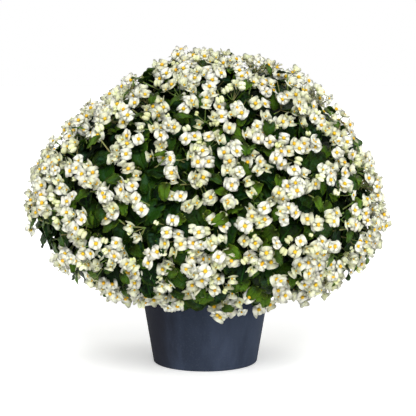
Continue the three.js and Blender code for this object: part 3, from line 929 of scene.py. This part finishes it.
def soil_material():
    tones = SOIL_TONES
    finish = Finish("potting_soil", Specular_IOR_Level=0.2)
    grains = finish.noise(140, 5)
    damp = finish.noise(14)
    base = finish.coats(
        tones["dark"],
        (grains, tones["crumb"]),
        (0.5 * finish.between(damp, 0.45, 0.6), tones["damp"]),
    )
    return finish.paint(base, 0.85 + 0.12 * damp, grains, 0.002)


def stem_material():
    finish = Finish("fleshy_stem", Specular_IOR_Level=0.4)
    blush = finish.noise(30, 3)
    fibres = finish.noise(400)
    base = finish.mix(finish.between(blush, 0.38, 0.66), (0.1, 0.16, 0.03), (0.2, 0.09, 0.05))
    return finish.paint(base, 0.4 + 0.2 * fibres, fibres, 0.0003)


def stalk_material():
    """The finish of all thin stalks, made once."""
    name = "flower_stalk"
    if name in bpy.data.materials:
        return bpy.data.materials[name]
    finish = Finish(name, Specular_IOR_Level=0.25)
    blush = finish.noise(45)
    fibres = finish.noise(500)
    base = finish.mix(finish.between(blush, 0.42, 0.6), (0.2, 0.32, 0.07), (0.28, 0.25, 0.1))
    return finish.paint(base, 0.42 + 0.16 * fibres, fibres, 0.0002)


def leaf_material():
    leaves, tones = settings().leaves, LEAF_TONES
    finish = Finish("begonia_leaf", Specular_IOR_Level=0.06)
    x, y, around = finish.attribute("place")
    young, shade, deep = finish.attribute("tint")
    underside = finish.between(around, 0.5, 0.6)
    rim = finish.between(around, 0.22, 0.5) * (1 - underside)
    angle = y.arctan2(x + 0.06)
    reach = (x * x + y * y).root()
    rib = finish.between(abs((angle * 3.2).sine()), 0.0, 0.16)
    twig = finish.between(abs((reach * 34 + angle * 9).sine()), 0.0, 0.3)
    puckers = finish.noise(11, 3, where=finish.vector(x, y, shade * 9))
    flush = finish.noise(60)
    lit = finish.between(shade, 0.6, 0.95) * finish.between(reach + 0.4 * puckers, 0.2, 0.6)
    # Painted sheen: patches of a paler bluish green stand in for highlights on the glossy leaf,
    # fading on deep leaves
    painted_sheen_mask = finish.between(finish.noise(4, 2, where=finish.vector(x, y, shade * 5)), 0.5, 0.66)
    bright = finish.between(reach + 0.3 * puckers, 0.32, 0.72)
    base = finish.coats(
        scaled(leaves.colour, 0.2),
        (finish.between(puckers + 0.2 * shade, 0.5, 0.72), leaves.colour),
        (0.7 * lit, tones["lit"]),
        (0.5 * painted_sheen_mask * (1 - deep) * (0.4 + 0.6 * twig), tones["painted_sheen"]),
        (young, finish.mix(bright, scaled(leaves.young_colour, 0.22), leaves.young_colour)),
        (0.5 * (1 - rib) + 0.18 * (1 - twig), tones["vein"]),
        (0.18 * flush * young, tones["flush"]),
        (0.6 * rim * puckers, tones["rim"]),
        (0.7 * rim * young, tones["young rim"]),
        (0.5 * underside, tones["underside"]),
        # Painted shade: leaves of the deeper layers turn nearly black
        (0.97 * deep, tones["deep"]),
    )
    roughness = 0.22 + 0.2 * puckers + 0.2 * underside + 0.3 * deep
    return finish.paint(base, roughness, rib * 0.7 + twig * 0.3 + 1.4 * puckers, 0.0022)


def petal_material():
    flowers, tones = settings().flowers, PETAL_TONES
    finish = Finish(
        "begonia_petal",
        Specular_IOR_Level=0.2,
        Subsurface_Weight=0.25,
        Subsurface_Radius=(0.007, 0.006, 0.003),
        Subsurface_Scale=0.5,
    )
    along, across, _ = finish.attribute("place")
    cream, blush, shade = finish.attribute("tint")
    veins = finish.noise(9, 3, where=finish.vector(along * 0.7, across * 5, shade * 20))
    clouds = finish.noise(5, 2, where=finish.vector(along, across, shade * 13))
    throat = 1 - finish.between(along, 0.1, 0.5)
    base = finish.coats(
        flowers.petal_colour,
        (0.4 * veins, tones["vein"]),
        (0.8 * cream, tones["cream"]),
        (0.5 * throat, tones["throat"]),
        (0.5 * blush * clouds, tones["blush"]),
        # Painted shade: flowers whose shade is low turn a darker olive cream
        (0.5 - 0.5 * finish.between(shade, 0.1, 0.4), tones["painted_shade"]),
    )
    return finish.paint(base, 0.42 + 0.16 * veins, veins, 0.0003)


def stamen_material():
    colour = settings().flowers.stamen_colour
    finish = Finish("begonia_stamens", Specular_IOR_Level=0.3)
    grains = finish.noise(900)
    warm = finish.noise(60)
    light = tuple(min(1, 1.15 * c + 0.02) for c in colour)
    base = finish.coats(
        colour,
        (finish.between(grains, 0.35, 0.7), light),
        (0.3 * finish.between(warm, 0.45, 0.7), WARM_STAMENS),
    )
    return finish.paint(base, 0.55 + 0.2 * grains, grains, 0.0006)


# Growing: points and lines on one mesh, and the trees that turn them into flowers and stalks

# How much leaves and flowers differ in size, as a share, and the sides of their stalks
SIZE_VARIATION = 0.1
LEAF_STALK_SIDES, FLOWER_STALK_SIDES = 4, 3


def tube_branch(tree, edges, sides):
    """Tubes that follow a mesh's edges, as thick as its points say."""
    ring = tree.add("GeometryNodeCurvePrimitiveCircle", inputs={"Resolution": sides, "Radius": 1.0})
    tube = tree.add(
        "GeometryNodeCurveToMesh",
        inputs={
            "Curve": tree.add("GeometryNodeMeshToCurve", inputs={"Mesh": edges}),
            "Profile Curve": ring,
            "Scale": tree.named("thick", "FLOAT"),
            "Fill Caps": True,
        },
    )
    return tree.add("GeometryNodeSetShadeSmooth", inputs={"Geometry": tube})


def repeating_tree(name, finishes):
    """Puts a shape from a collection on each loose point and a tube along each edge."""
    inputs = [("Shapes", "Collection", None), ("Size", "Float", 1.0), ("Seed", "Int", 1)]
    inputs += [("Size variation", "Float", SIZE_VARIATION)]
    inputs += [("Stalk sides", "Int", LEAF_STALK_SIDES)]
    tree = Grower(name, inputs)
    given = tree.given
    split = tree.add(
        "GeometryNodeSeparateGeometry",
        {"domain": "POINT"},
        {"Geometry": given["Geometry"], "Selection": tree.named("is_stalk", "BOOLEAN")},
    )
    shapes = tree.add(
        "GeometryNodeCollectionInfo",
        {"transform_space": "ORIGINAL"},
        {"Collection": given["Shapes"], "Separate Children": True, "Reset Children": True},
    )
    variation = tree.value(given["Size variation"])
    vary = tree.add(
        "FunctionNodeRandomValue",
        {"data_type": "FLOAT"},
        {"Min": 1.0 - variation, "Max": 1.0 + variation, "Seed": given["Seed"]},
    )
    size = tree.value(vary.outputs["Value"]) * tree.named("size", "FLOAT") * given["Size"]
    turn = tree.add(
        "FunctionNodeEulerToRotation", inputs={"Euler": tree.named("turn", "FLOAT_VECTOR")}
    )
    placed = tree.add(
        "GeometryNodeInstanceOnPoints",
        inputs={
            "Points": split.outputs["Inverted"],
            "Instance": shapes,
            "Pick Instance": True,
            "Instance Index": tree.named("kind", "INT"),
            "Rotation": turn,
            "Scale": size,
        },
    )
    stalks = tube_branch(tree, split.outputs["Selection"], given["Stalk sides"])
    marked = tree.add(
        "GeometryNodeStoreNamedAttribute",
        {"data_type": "INT", "domain": "FACE"},
        {"Geometry": stalks, "Name": "part", "Value": STALK},
    )
    both = tree.add("GeometryNodeJoinGeometry", inputs={"Geometry": marked})
    tree.feed(both.inputs["Geometry"], placed)
    tree.dress(both, finishes)
    return tree


class Planting:
    """Points for the things that are repeated on one piece, and lines for their stalks."""

    COLUMNS = {
        "turn": "FLOAT_VECTOR", "size": "FLOAT", "kind": "INT", "tint": "FLOAT_VECTOR",
        "thick": "FLOAT", "is_stalk": "BOOLEAN",
    }

    def __init__(self):
        self.points = []
        self.edges = []
        self.columns = {name: [] for name in self.COLUMNS}

    def add_point(self, position, *values):
        self.points.append(tuple(position))
        for column, value in zip(self.columns.values(), values):
            column.append(value)

    def put(self, position, turn, size, kind, tint):
        self.add_point(position, turn, size, kind, tint, 0.0, False)

    def line(self, positions, thick_from, thick_to):
        first = len(self.points)
        last = len(positions) - 1
        for k, position in enumerate(positions):
            thick = thick_from + (thick_to - thick_from) * k / last
            self.add_point(position, (0, 0, 0), 1.0, 0, (0, 0, 0), thick, True)
            if k:
                self.edges.append((first + k - 1, first + k))

    def mesh(self, name):
        mesh = bpy.data.meshes.new(name)
        mesh.from_pydata(self.points, self.edges, [])
        for column, kind in self.COLUMNS.items():
            write_attribute(mesh, column, kind, self.columns[column])
        return mesh


# How closely crowded and sparse parts of the dome follow each other, per metre
CLUMPING = 14.0

# How far the flowers turn to the light, which falls on the plant from the front
TO_THE_LIGHT = Vector((0, -0.55, 0))

# A place stays bare where the noise that crowds the flowers is lower than this
BARE_AT_HEM, BARE_AT_BACK, BARE_AT_SIDE, NEVER_BARE = -0.08, -0.24, -0.13, -1
HEM = math.radians(-30)

# The clusters on the dome: lowest elevation in degrees, looseness, seed
CLUSTER_SITES = (-54, 0.3, 17)
CLUSTER_SEED = 5

# Depths below the dome's surface of a spray's foot and hub and of a cluster's fork
FOOT_DEPTH, HUB_DEPTH, FORK_DEPTH = 0.078, 0.024, 0.034

# How far flowers and buds stand from the line through their cluster's fork, and above the fork
OPEN_SPREAD, BUD_SPREAD = 0.0132, 0.02
FLOWER_LIFT, BUD_DROP = 0.025, 0.004

# How much of a gap's radius stays free, for a flower and for a cluster's middle, and by how far
# a flower keeps out of a gap beyond that
FLOWER_GAP_REACH, CLUSTER_GAP_REACH, GAP_MARGIN = 0.72, 0.45, 0.0045

# A flower that falls in a gap is moved round its fork: how often, how far and how much wider
TRIES, NEXT_TRY, WIDER_TRY = 5, 1.9, 1.06

# How upright clusters face, where the dome is upright and as it slopes above and below there
UPRIGHT, STEEP_ABOVE, STEEP_BELOW = 0.16, 0.42, 0.3

# From one flower of a cluster to the next, as a share of a turn
TURN_TO_NEXT = 0.382

# Radii of stalks at their start and end, in metres
SPRAY_STALK = (0.0034, 0.0028)
CLUSTER_STALK = (0.0019, 0.0013)
FLOWER_STALK = (0.0009, 0.00075)
LEAF_STALK = (0.0013, 0.0019)

# The most that a flower leans outwards, in radians, and a bud's lean as a share of a flower's
MOST_LEAN, BUD_LEAN = 1.2, 0.6


def cluster_counts(draw, crowd):
    """How many open flowers and how many buds a cluster has."""
    open_count = max(2, round(2.5 + 2.8 * crowd + 0.5 * next(draw)))
    bud_count = 2 + (next(draw) > 0.4) - (next(draw) > 0.4)
    if next(draw) > 0.76:
        open_count, bud_count = int(next(draw) > 0), 5
    return open_count, bud_count


def flower_form(draw, is_open):
    """A flower's or bud's number of its form, its size, and its tint: cream, blush and shade."""
    pick = next(draw)
    shade = 0.5 + 0.5 * next(draw)
    if is_open:
        kind = min(FIVE_PETALLED_KIND, int(2 * (pick + 1)))
        kind = FLAT_KIND if kind == FIVE_PETALLED_KIND and shade < 0.6 else kind
        return kind, 1.0, (max(0, 0.18 * next(draw)), max(0, next(draw) - 0.35), shade)
    if pick > -0.2:
        tint = (0.45 + 0.25 * next(draw), max(0, next(draw) - 0.5), shade)
        return HALF_OPEN_KINDS[pick > 0.6], 0.9, tint
    if pick > -0.65:
        return BUD_KIND, 0.64 + 0.08 * next(draw), (0.5 + 0.25 * next(draw), 0.0, shade)
    return SMALL_BUD_KIND, 0.5 + 0.1 * next(draw), (0.75 + 0.25 * next(draw), 0.0, shade)


def plant_cluster(planting, draw, site, joint):
    """A cluster: open flowers, half-open ones and buds on thin stalks from one fork."""
    normal = dome_normal(*site)
    facing = normal.copy()
    facing.z = UPRIGHT + (STEEP_ABOVE if normal.z > 0 else STEEP_BELOW) * normal.z
    facing.normalize()
    side = -level_across(facing)
    slope = facing.cross(side)
    first_turn = math.pi * next(draw)
    fork = dome_point(*site, FORK_DEPTH + 0.006 * next(draw))
    sag = -0.012 * normal + 0.004 * jumble(draw)
    planting.line(bowed(joint, fork, sag, 3), *CLUSTER_STALK)
    light = (1 - max(0, normal.y)) * TO_THE_LIGHT
    open_count, bud_count = cluster_counts(draw, noise.noise(CLUMPING * fork))
    for k in range(open_count + bud_count):
        is_open = k < open_count
        angle = first_turn + 2 * math.pi * k * TURN_TO_NEXT + 0.3 * next(draw)
        spread = (OPEN_SPREAD if is_open else BUD_SPREAD) * (1 + 0.22 * next(draw))
        lift = FLOWER_LIFT + 0.009 * next(draw) - (0 if is_open else BUD_DROP)
        for _ in range(TRIES):
            aside = math.cos(angle) * side + math.sin(angle) * slope
            point = fork + lift * facing + spread * aside
            if not in_leafy_gap(point, FLOWER_GAP_REACH, GAP_MARGIN):
                break
            angle += NEXT_TRY
            spread *= WIDER_TRY
        else:
            continue
        lean = settings().flowers.lean * (1 + 0.5 * next(draw)) * (1 if is_open else BUD_LEAN)
        astray = 0.3 * jumble(draw)
        outwards = math.tan(min(MOST_LEAN, lean)) * aside
        direction = (facing + outwards + astray + light).normalized()
        kind, size, tint = flower_form(draw, is_open)
        turn = frame_facing(direction, math.pi * next(draw))
        planting.put(point, turn, size, kind, tint)
        bend = fork.lerp(point, 0.5) + 0.003 * aside - 0.001 * facing
        planting.line([fork, bend, point - 0.0008 * direction], *FLOWER_STALK)


def bare_below(elevation, depth):
    """How low the noise that crowds the flowers must be for a place to stay bare."""
    if elevation < HEM:
        return BARE_AT_HEM
    if depth > BACK_STARTS:
        return BARE_AT_BACK
    return BARE_AT_SIDE if depth > SIDE_STARTS else NEVER_BARE


def plan_sprays():
    """Where each spray's flowers and stalks go, with its joint and the middle of its clusters."""
    hubs = spray_points(HUB_DEPTH)
    if len(hubs) != len(SPRAY_NODES):
        raise RuntimeError(f"{len(hubs)} sprays, but {len(SPRAY_NODES)} CAD nodes")
    joints = spray_points(FOOT_DEPTH)
    plantings = [Planting() for _ in hubs]
    draw = seeded(CLUSTER_SEED)
    for site in dome_sites(settings().flowers.spacing, *CLUSTER_SITES):
        place = dome_point(*site, FORK_DEPTH)
        crowd = noise.noise(CLUMPING * place)
        if crowd < bare_below(site[0], place.y) or in_leafy_gap(place, CLUSTER_GAP_REACH):
            continue
        k = nearest(place, hubs)
        plant_cluster(plantings[k], draw, site, joints[k])
    return plantings, joints, hubs


def flower_heads():
    """The middles of all flowers and buds, for finding the nearest one."""
    heads = [
        point
        for planting in plan_sprays()[0]
        for point, is_stalk in zip(planting.points, planting.columns["is_stalk"])
        if not is_stalk
    ]
    tree = kdtree.KDTree(len(heads))
    for k, head in enumerate(heads):
        tree.insert(head, k)
    tree.balance()
    return tree


# How near a leaf's middle may come to a flower, and how far it is sunk otherwise, in metres
CLEAR_OF_FLOWERS = 0.02
SUNK_UNDER_FLOWERS = 0.02

# Layers of leaves: name, spacing as a share of the outer spacing, lowest elevation, looseness,
# least and greatest depth, scale, share of young leaves, painted shade of their depth, seed
LEAF_LAYERS = [
    ("leaves_young", 1.2, -40, 0.4, 0.0, 0.024, 0.58, 1.0, 0.0, 34),
    ("leaves_outer", 1.0, -50, 0.34, 0.022, 0.044, 1.02, 0.06, 0.12, 31),
    ("leaves_middle", 1.06, -46, 0.34, 0.044, 0.064, 1.12, 0.03, 0.75, 32),
    ("leaves_inner", 1.16, -40, 0.25, 0.07, 0.088, 1.3, 0.0, 0.9, 33),
]

# The scale of a young leaf in the layers of full-grown ones
YOUNG_SCALE = 0.6

# How far leaves face upwards, how far that goes on below, their tumble, and their greatest swing
LEAF_UPWARDS, LEAF_UPWARDS_BELOW, LEAF_TUMBLE, LEAF_SWING = 0.35, 0.5, 0.33, 1.25

# A leaf whose tip would point up more steeply than this is turned round
STEEPEST_TIP = 0.3

# Turns a draw from -1 to 1 into a share of the number of leaf forms that never reaches all
JUST_UNDER_HALF = 0.49975


def plant_leaf(planting, draw, site, depth, scale, tint, joint):
    """A leaf that hangs outwards and down, on a stalk from the stems behind it."""
    normal = dome_normal(*site)
    upwards = LEAF_UPWARDS + LEAF_UPWARDS_BELOW * max(0, -normal.z)
    facing = (normal + Vector((0, 0, upwards))).normalized()
    facing = (facing + LEAF_TUMBLE * jumble(draw)).normalized()
    level = level_across(facing)
    downhill = level.cross(facing)
    swing = LEAF_SWING * next(draw)
    tip = math.cos(swing) * -downhill + math.sin(swing) * level
    if tip.z > STEEPEST_TIP:
        tip = -tip
    basis = Matrix((tip, facing.cross(tip), facing)).transposed()
    centre = dome_point(*site, depth)
    base = centre - LEAF_MIDDLE * scale * settings().leaves.length * tip
    kind = int(JUST_UNDER_HALF * len(LEAF_FORMS) * (next(draw) + 1))
    planting.put(base, basis.to_euler(), scale, kind, tint)
    lowered = base - 0.012 * facing
    planting.line([base - 0.001 * facing, lowered.lerp(joint, 0.25), joint], *LEAF_STALK)


# Operators

PLANTER_FLOOR = 0.006
PLANTER_SIDES = 128
SHARP_EDGE = math.radians(38)

# The lip's height and how far it stands out, and the radius of the edge at the base
LIP_HEIGHT, LIP_PROUD, BASE_EDGE = 0.014, 0.004, 0.004

# Drainage holes: how many, their radius, and how far they lie from the middle
HOLE_COUNT, HOLE_RADIUS, HOLE_CIRCLE = 5, 0.007, 0.062


def planter_radius(height):
    """The planter's outer radius at a height, below its lip."""
    planter = settings().planter
    slope = (planter.rim_radius - planter.base_radius) / planter.height
    return planter.base_radius + slope * height


def planter_profile():
    """Radii and heights up the outside, over the rim and down the inside."""
    planter = settings().planter
    top = planter.height
    foot = top - LIP_HEIGHT
    rim = planter.rim_radius + LIP_PROUD
    inner = planter.rim_radius - planter.wall
    proud = planter_radius(foot) + LIP_PROUD
    profile = [(0, 0), (planter.base_radius - 2.2 * BASE_EDGE, 0)]
    steps = 5
    for k in range(steps + 1):
        angle = math.pi / 2 * k / steps
        radius = planter_radius(BASE_EDGE) - BASE_EDGE + BASE_EDGE * math.sin(angle)
        profile.append((radius, BASE_EDGE - BASE_EDGE * math.cos(angle)))
    profile += [(planter_radius(z), z) for z in (0.02, 0.08, 0.14, 0.2, foot - 0.002)]
    return profile + [
        (planter_radius(foot) + 0.0004, foot - 0.0004),
        (proud - 0.0006, foot + 0.0024),
        (proud, foot + 0.0036),
        (rim, top - 0.0014),
        (rim - 0.0004, top - 0.0004),
        (rim - 0.0014, top),
        (inner + 0.0014, top),
        (inner + 0.0003, top - 0.0004),
        (inner, top - 0.0014),
        (planter_radius(PLANTER_FLOOR) - planter.wall, PLANTER_FLOOR),
        (0, PLANTER_FLOOR),
    ]


class BuildPlanter(Operator):
    """Builds the tapered planter with its lip, rounded edges and drainage holes"""

    bl_idname = "begonia.planter"
    bl_label = "Planter"

    def execute(self, context):
        piece = new_piece("planter", lathe("planter", planter_profile(), PLANTER_SIDES))
        cutter = bpy.data.meshes.new("drill")
        work = bmesh.new()
        for k in range(HOLE_COUNT):
            spot = ring_point(HOLE_CIRCLE, 2 * math.pi * k / HOLE_COUNT, PLANTER_FLOOR / 2)
            bmesh.ops.create_cone(
                work,
                cap_ends=True,
                segments=24,
                radius1=HOLE_RADIUS,
                radius2=HOLE_RADIUS,
                depth=4 * PLANTER_FLOOR,
                matrix=Matrix.Translation(spot),
            )
        work.to_mesh(cutter)
        work.free()
        drill = new_piece("drill", cutter)
        cut = piece.modifiers.new("Drainage", "BOOLEAN")
        cut.operation = "DIFFERENCE"
        cut.solver = "EXACT"
        cut.object = drill
        apply_modifiers(piece)
        bpy.data.objects.remove(drill)
        bpy.data.meshes.remove(cutter)
        plain = piece.data
        plain.polygons.foreach_set("use_smooth", [True] * len(plain.polygons))
        plain.set_sharp_from_angle(angle=SHARP_EDGE)
        plain.materials.clear()
        plain.materials.append(planter_material())
        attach(piece, BODY)
        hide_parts("pot")
        return {"FINISHED"}


class BuildSoil(Operator):
    """Builds the mound of potting soil with a bumpy top"""

    bl_idname = "begonia.soil"
    bl_label = "Potting soil"

    def execute(self, context):
        gap, floor, level, mound = 0.0004, 0.0064, 0.212, 0.01
        edge_level = level - 0.002
        inset = settings().planter.wall
        edge = planter_radius(edge_level) - inset - gap
        profile = [(0, floor), (planter_radius(floor) - inset - gap, floor), (edge, edge_level)]
        steps = 16
        for k in range(1, steps + 1):
            share = 1 - k / steps
            profile.append((edge * share, level + mound * (1 - share**2) ** 1.2 - 0.002))
        mesh = lathe("potting_soil", profile, 64)
        for vertex in mesh.vertices:
            on_top = vertex.co.z > level - 0.001 and vertex.co.xy.length < 0.97 * edge
            if on_top:
                bumps = noise.noise(60 * vertex.co) + 0.5 * noise.noise(140 * vertex.co)
                vertex.co.z += 0.0022 * bumps
        mesh.materials.append(soil_material())
        piece = new_piece("potting_soil", mesh)
        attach(piece, BODY)
        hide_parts("soil")
        return {"FINISHED"}


# Stems: radii at their start and end, and where their feet stand and their heads reach
MAIN_STEM = (0.008, 0.0055)
BRANCH_STEM = (0.0055, 0.0032)
STEM_SIDES = 10
STEM_COUNT, FOOT_CIRCLE, FOOT_HEIGHT, HEAD_DEPTH = 7, 0.062, 0.15, 0.12


def stem_network():
    """The stems from the soil, and the branches from them to the foot of every spray."""
    feet, heads = [], []
    for k in range(STEM_COUNT):
        azimuth = 2 * math.pi * k / (STEM_COUNT - 1) + 0.3
        elevation = math.radians(38 if k else 90)
        feet.append(ring_point(FOOT_CIRCLE if k else 0, azimuth, FOOT_HEIGHT))
        heads.append(dome_point(elevation, azimuth, HEAD_DEPTH))
    lines = []
    for foot, head in zip(feet, heads):
        lines.append((bowed(foot, head, Vector((0, 0, 0.012)), 8), *MAIN_STEM))
    for joint in spray_points(FOOT_DEPTH):
        k = nearest(joint, heads)
        fork = feet[k].lerp(heads[k], 0.45)
        low = min(0, joint.z - 0.3)
        lines.append((bowed(fork, joint, Vector((0, 0, 0.02 - 0.25 * low)), 6), *BRANCH_STEM))
    return lines


class BuildStems(Operator):
    """Builds the fleshy stems from the soil to the foot of every spray"""

    bl_idname = "begonia.stems"
    bl_label = "Stems"

    def execute(self, context):
        tree = Grower("Stems", [("Finish", "Material", None), ("Sides", "Int", STEM_SIDES)])
        tubes = tube_branch(tree, tree.given["Geometry"], tree.given["Sides"])
        tree.dress(tubes, [(EVERY_PART, tree.given["Finish"])])
        planting = Planting()
        for line in stem_network():
            planting.line(*line)
        piece = tree.grow("stems", planting, {"Finish": stem_material(), "Sides": STEM_SIDES})
        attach(piece, BODY)
        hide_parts("foliage")
        return {"FINISHED"}


class BuildLeaves(Operator):
    """Builds the layers of leaves, each leaf on its stalk"""

    bl_idname = "begonia.leaves"
    bl_label = "Leaves"

    def execute(self, context):
        leaves = settings().leaves
        shapes = leaf_shapes()
        tree = repeating_tree("Leaves", [(GREEN, leaf_material()), (STALK, stalk_material())])
        joints = spray_points(FOOT_DEPTH)
        heads = flower_heads()
        for name, spread, lowest, loose, shallow, deep, scale, young, painted_depth_shade, seed in LEAF_LAYERS:
            draw = seeded(seed)
            planting = Planting()
            for site in dome_sites(spread * leaves.spacing, lowest, loose, seed):
                depth = (shallow + deep) / 2 + (deep - shallow) / 2 * next(draw)
                is_young = next(draw) < 2 * young - 1
                youth = (0.5 + 0.4 * next(draw)) if is_young else max(0, 0.18 * next(draw))
                grown = 1.0 + 0.16 * next(draw)
                grown *= YOUNG_SCALE if is_young and scale >= 1 else scale
                place = dome_point(*site, depth)
                if heads.find(place)[2] < max(0.75, grown) * CLEAR_OF_FLOWERS:
                    depth += SUNK_UNDER_FLOWERS
                    place = dome_point(*site, depth)
                joint = joints[nearest(place, joints)]
                # The tint's last number is painted shade, stronger in the deeper layers
                tint = (youth, 0.5 + 0.5 * next(draw), painted_depth_shade)
                plant_leaf(planting, draw, site, depth, grown, tint, joint)
            values = {"Shapes": shapes, "Size": leaves.length, "Size variation": SIZE_VARIATION}
            values |= {"Stalk sides": LEAF_STALK_SIDES, "Seed": seed}
            piece = tree.grow(name, planting, values)
            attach(piece, BODY)
            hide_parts("foliage")
        discard(shapes)
        return {"FINISHED"}


class BuildSprays(Operator):
    """Builds every spray: clusters of open flowers, half-open flowers and buds"""

    bl_idname = "begonia.sprays"
    bl_label = "Flower sprays"

    def execute(self, context):
        flowers = settings().flowers
        plantings, joints, hubs = plan_sprays()
        shapes = flower_shapes()
        stalk = stalk_material()
        finishes = [(PETAL, petal_material()), (STAMENS, stamen_material())]
        tree = repeating_tree("Flowers", finishes + [(GREEN, stalk), (STALK, stalk)])
        for k, node in enumerate(SPRAY_NODES):
            name = node.replace("flower_spray", "spray")
            planting = plantings[k]
            planting.line([joints[k].lerp(hubs[k], -0.3), joints[k]], *SPRAY_STALK)
            values = {"Shapes": shapes, "Size": flowers.diameter, "Size variation": SIZE_VARIATION}
            values |= {"Stalk sides": FLOWER_STALK_SIDES, "Seed": flowers.seed + k}
            piece = tree.grow(name, planting, values)
            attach(piece, BODY)
            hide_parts(node)
        discard(shapes)
        return {"FINISHED"}


# Lamps: name, share of the strength, width, tilt from straight down, turn round +Z, in degrees
LAMPS = [("front_lamp", 1.0, 27, 52, 6), ("back_lamp", 0.45, 40, 45, 165)]

# The floor: half its width, its level, its two tones and the light that it gives off
FLOOR_HALF, FLOOR_LEVEL = 14.0, -0.0004
FLOOR_TONES = ((0.9, 0.9, 0.9), (0.94, 0.94, 0.94))
FLOOR_GLOW = 0.31

# The sky's brightness is 1 below the low height and the set strength above the high one
SKY_LOW, SKY_HIGH = 0.06, 0.4
SENSOR_WIDTH = 36.0
EYE_ASIDE = 0.0058
FAR_CLIP = 60.0


class BuildStage(Operator):
    """Sets up the pale floor, the soft light and the camera"""

    bl_idname = "begonia.stage"
    bl_label = "Stage"

    def execute(self, context):
        stage = settings().stage
        scene = context.scene
        scene.view_settings.view_transform = "Standard"
        signs = [(-1, -1), (1, -1), (1, 1), (-1, 1)]
        corners = [(x * FLOOR_HALF, y * FLOOR_HALF, FLOOR_LEVEL) for x, y in signs]
        mesh = new_mesh("floor", corners, [(0, 1, 2, 3)])
        finish = Finish(
            "pale_floor",
            Specular_IOR_Level=0.2,
            Emission_Color=(1, 1, 1, 1),
            Emission_Strength=FLOOR_GLOW,
        )
        grain = finish.noise(3)
        mesh.materials.append(finish.paint(finish.mix(grain, *FLOOR_TONES), 0.7 + 0.1 * grain))
        new_piece("floor", mesh)

        world = bpy.data.worlds.new("studio")
        world.use_nodes = True
        sky = Nodes(world.node_tree)
        where = sky.add("ShaderNodeTexCoord").outputs["Generated"]
        height = sky.add("ShaderNodeSeparateXYZ", inputs={"Vector": where}).outputs["Z"]
        low, high = (1.0, 1.0, 1.0), (stage.sky,) * 3
        stops = [(0.0, low), (SKY_LOW, low), (SKY_HIGH, high)]
        ramp = sky.add("ShaderNodeValToRGB", {"stops": stops}, {"Fac": height})
        sky.feed(world.node_tree.nodes["Background"].inputs["Color"], ramp.outputs["Color"])
        scene.world = world

        for name, strength, width, tilt, turn in LAMPS:
            sun = bpy.data.lights.new(name, "SUN")
            sun.energy = stage.lamp * strength
            sun.angle = math.radians(width)
            lamp = new_piece(name, sun)
            lamp.rotation_euler = Euler((math.radians(tilt), 0, math.radians(turn)))

        camera = bpy.data.cameras.new("camera")
        camera.sensor_width = SENSOR_WIDTH
        camera.lens = stage.lens
        camera.clip_end = FAR_CLIP
        camera.dof.use_dof = False
        eye = new_piece("camera", camera)
        eye.location = (EYE_ASIDE, -stage.distance, stage.eye_height)
        eye.rotation_euler = Euler((math.pi / 2 - stage.tilt, 0, 0))
        scene.camera = eye
        return {"FINISHED"}


class BegoniaPanel(Panel):
    """Lists the operators that build the begonia"""

    bl_idname = "VIEW3D_PT_begonia"
    bl_label = "Potted Begonia"
    bl_space_type = "VIEW_3D"
    bl_region_type = "UI"
    bl_category = "Begonia"

    def draw(self, context):
        for operator in OPERATORS:
            self.layout.operator(operator.bl_idname)
        for group in ("dome", "planter", "leaves", "flowers", "stage"):
            owner = getattr(context.scene.begonia, group)
            box = self.layout.box()
            for name in owner.__annotations__:
                box.prop(owner, name)


GROUPS = [DomeSettings, PlanterSettings, LeafSettings, FlowerSettings, StageSettings]
OPERATORS = [BuildPlanter, BuildSoil, BuildStems, BuildLeaves, BuildSprays, BuildStage]
CLASSES = [*GROUPS, BegoniaSettings, *OPERATORS, BegoniaPanel]


def register():
    for cls in CLASSES:
        bpy.utils.register_class(cls)
    bpy.types.Scene.begonia = PointerProperty(type=BegoniaSettings)


def unregister():
    del bpy.types.Scene.begonia
    for cls in reversed(CLASSES):
        bpy.utils.unregister_class(cls)


def main():
    register()
    bpy.ops.begonia.planter()
    bpy.ops.begonia.soil()
    bpy.ops.begonia.stems()
    bpy.ops.begonia.leaves()
    bpy.ops.begonia.sprays()
    bpy.ops.begonia.stage()


if __name__ == "__main__":
    main()
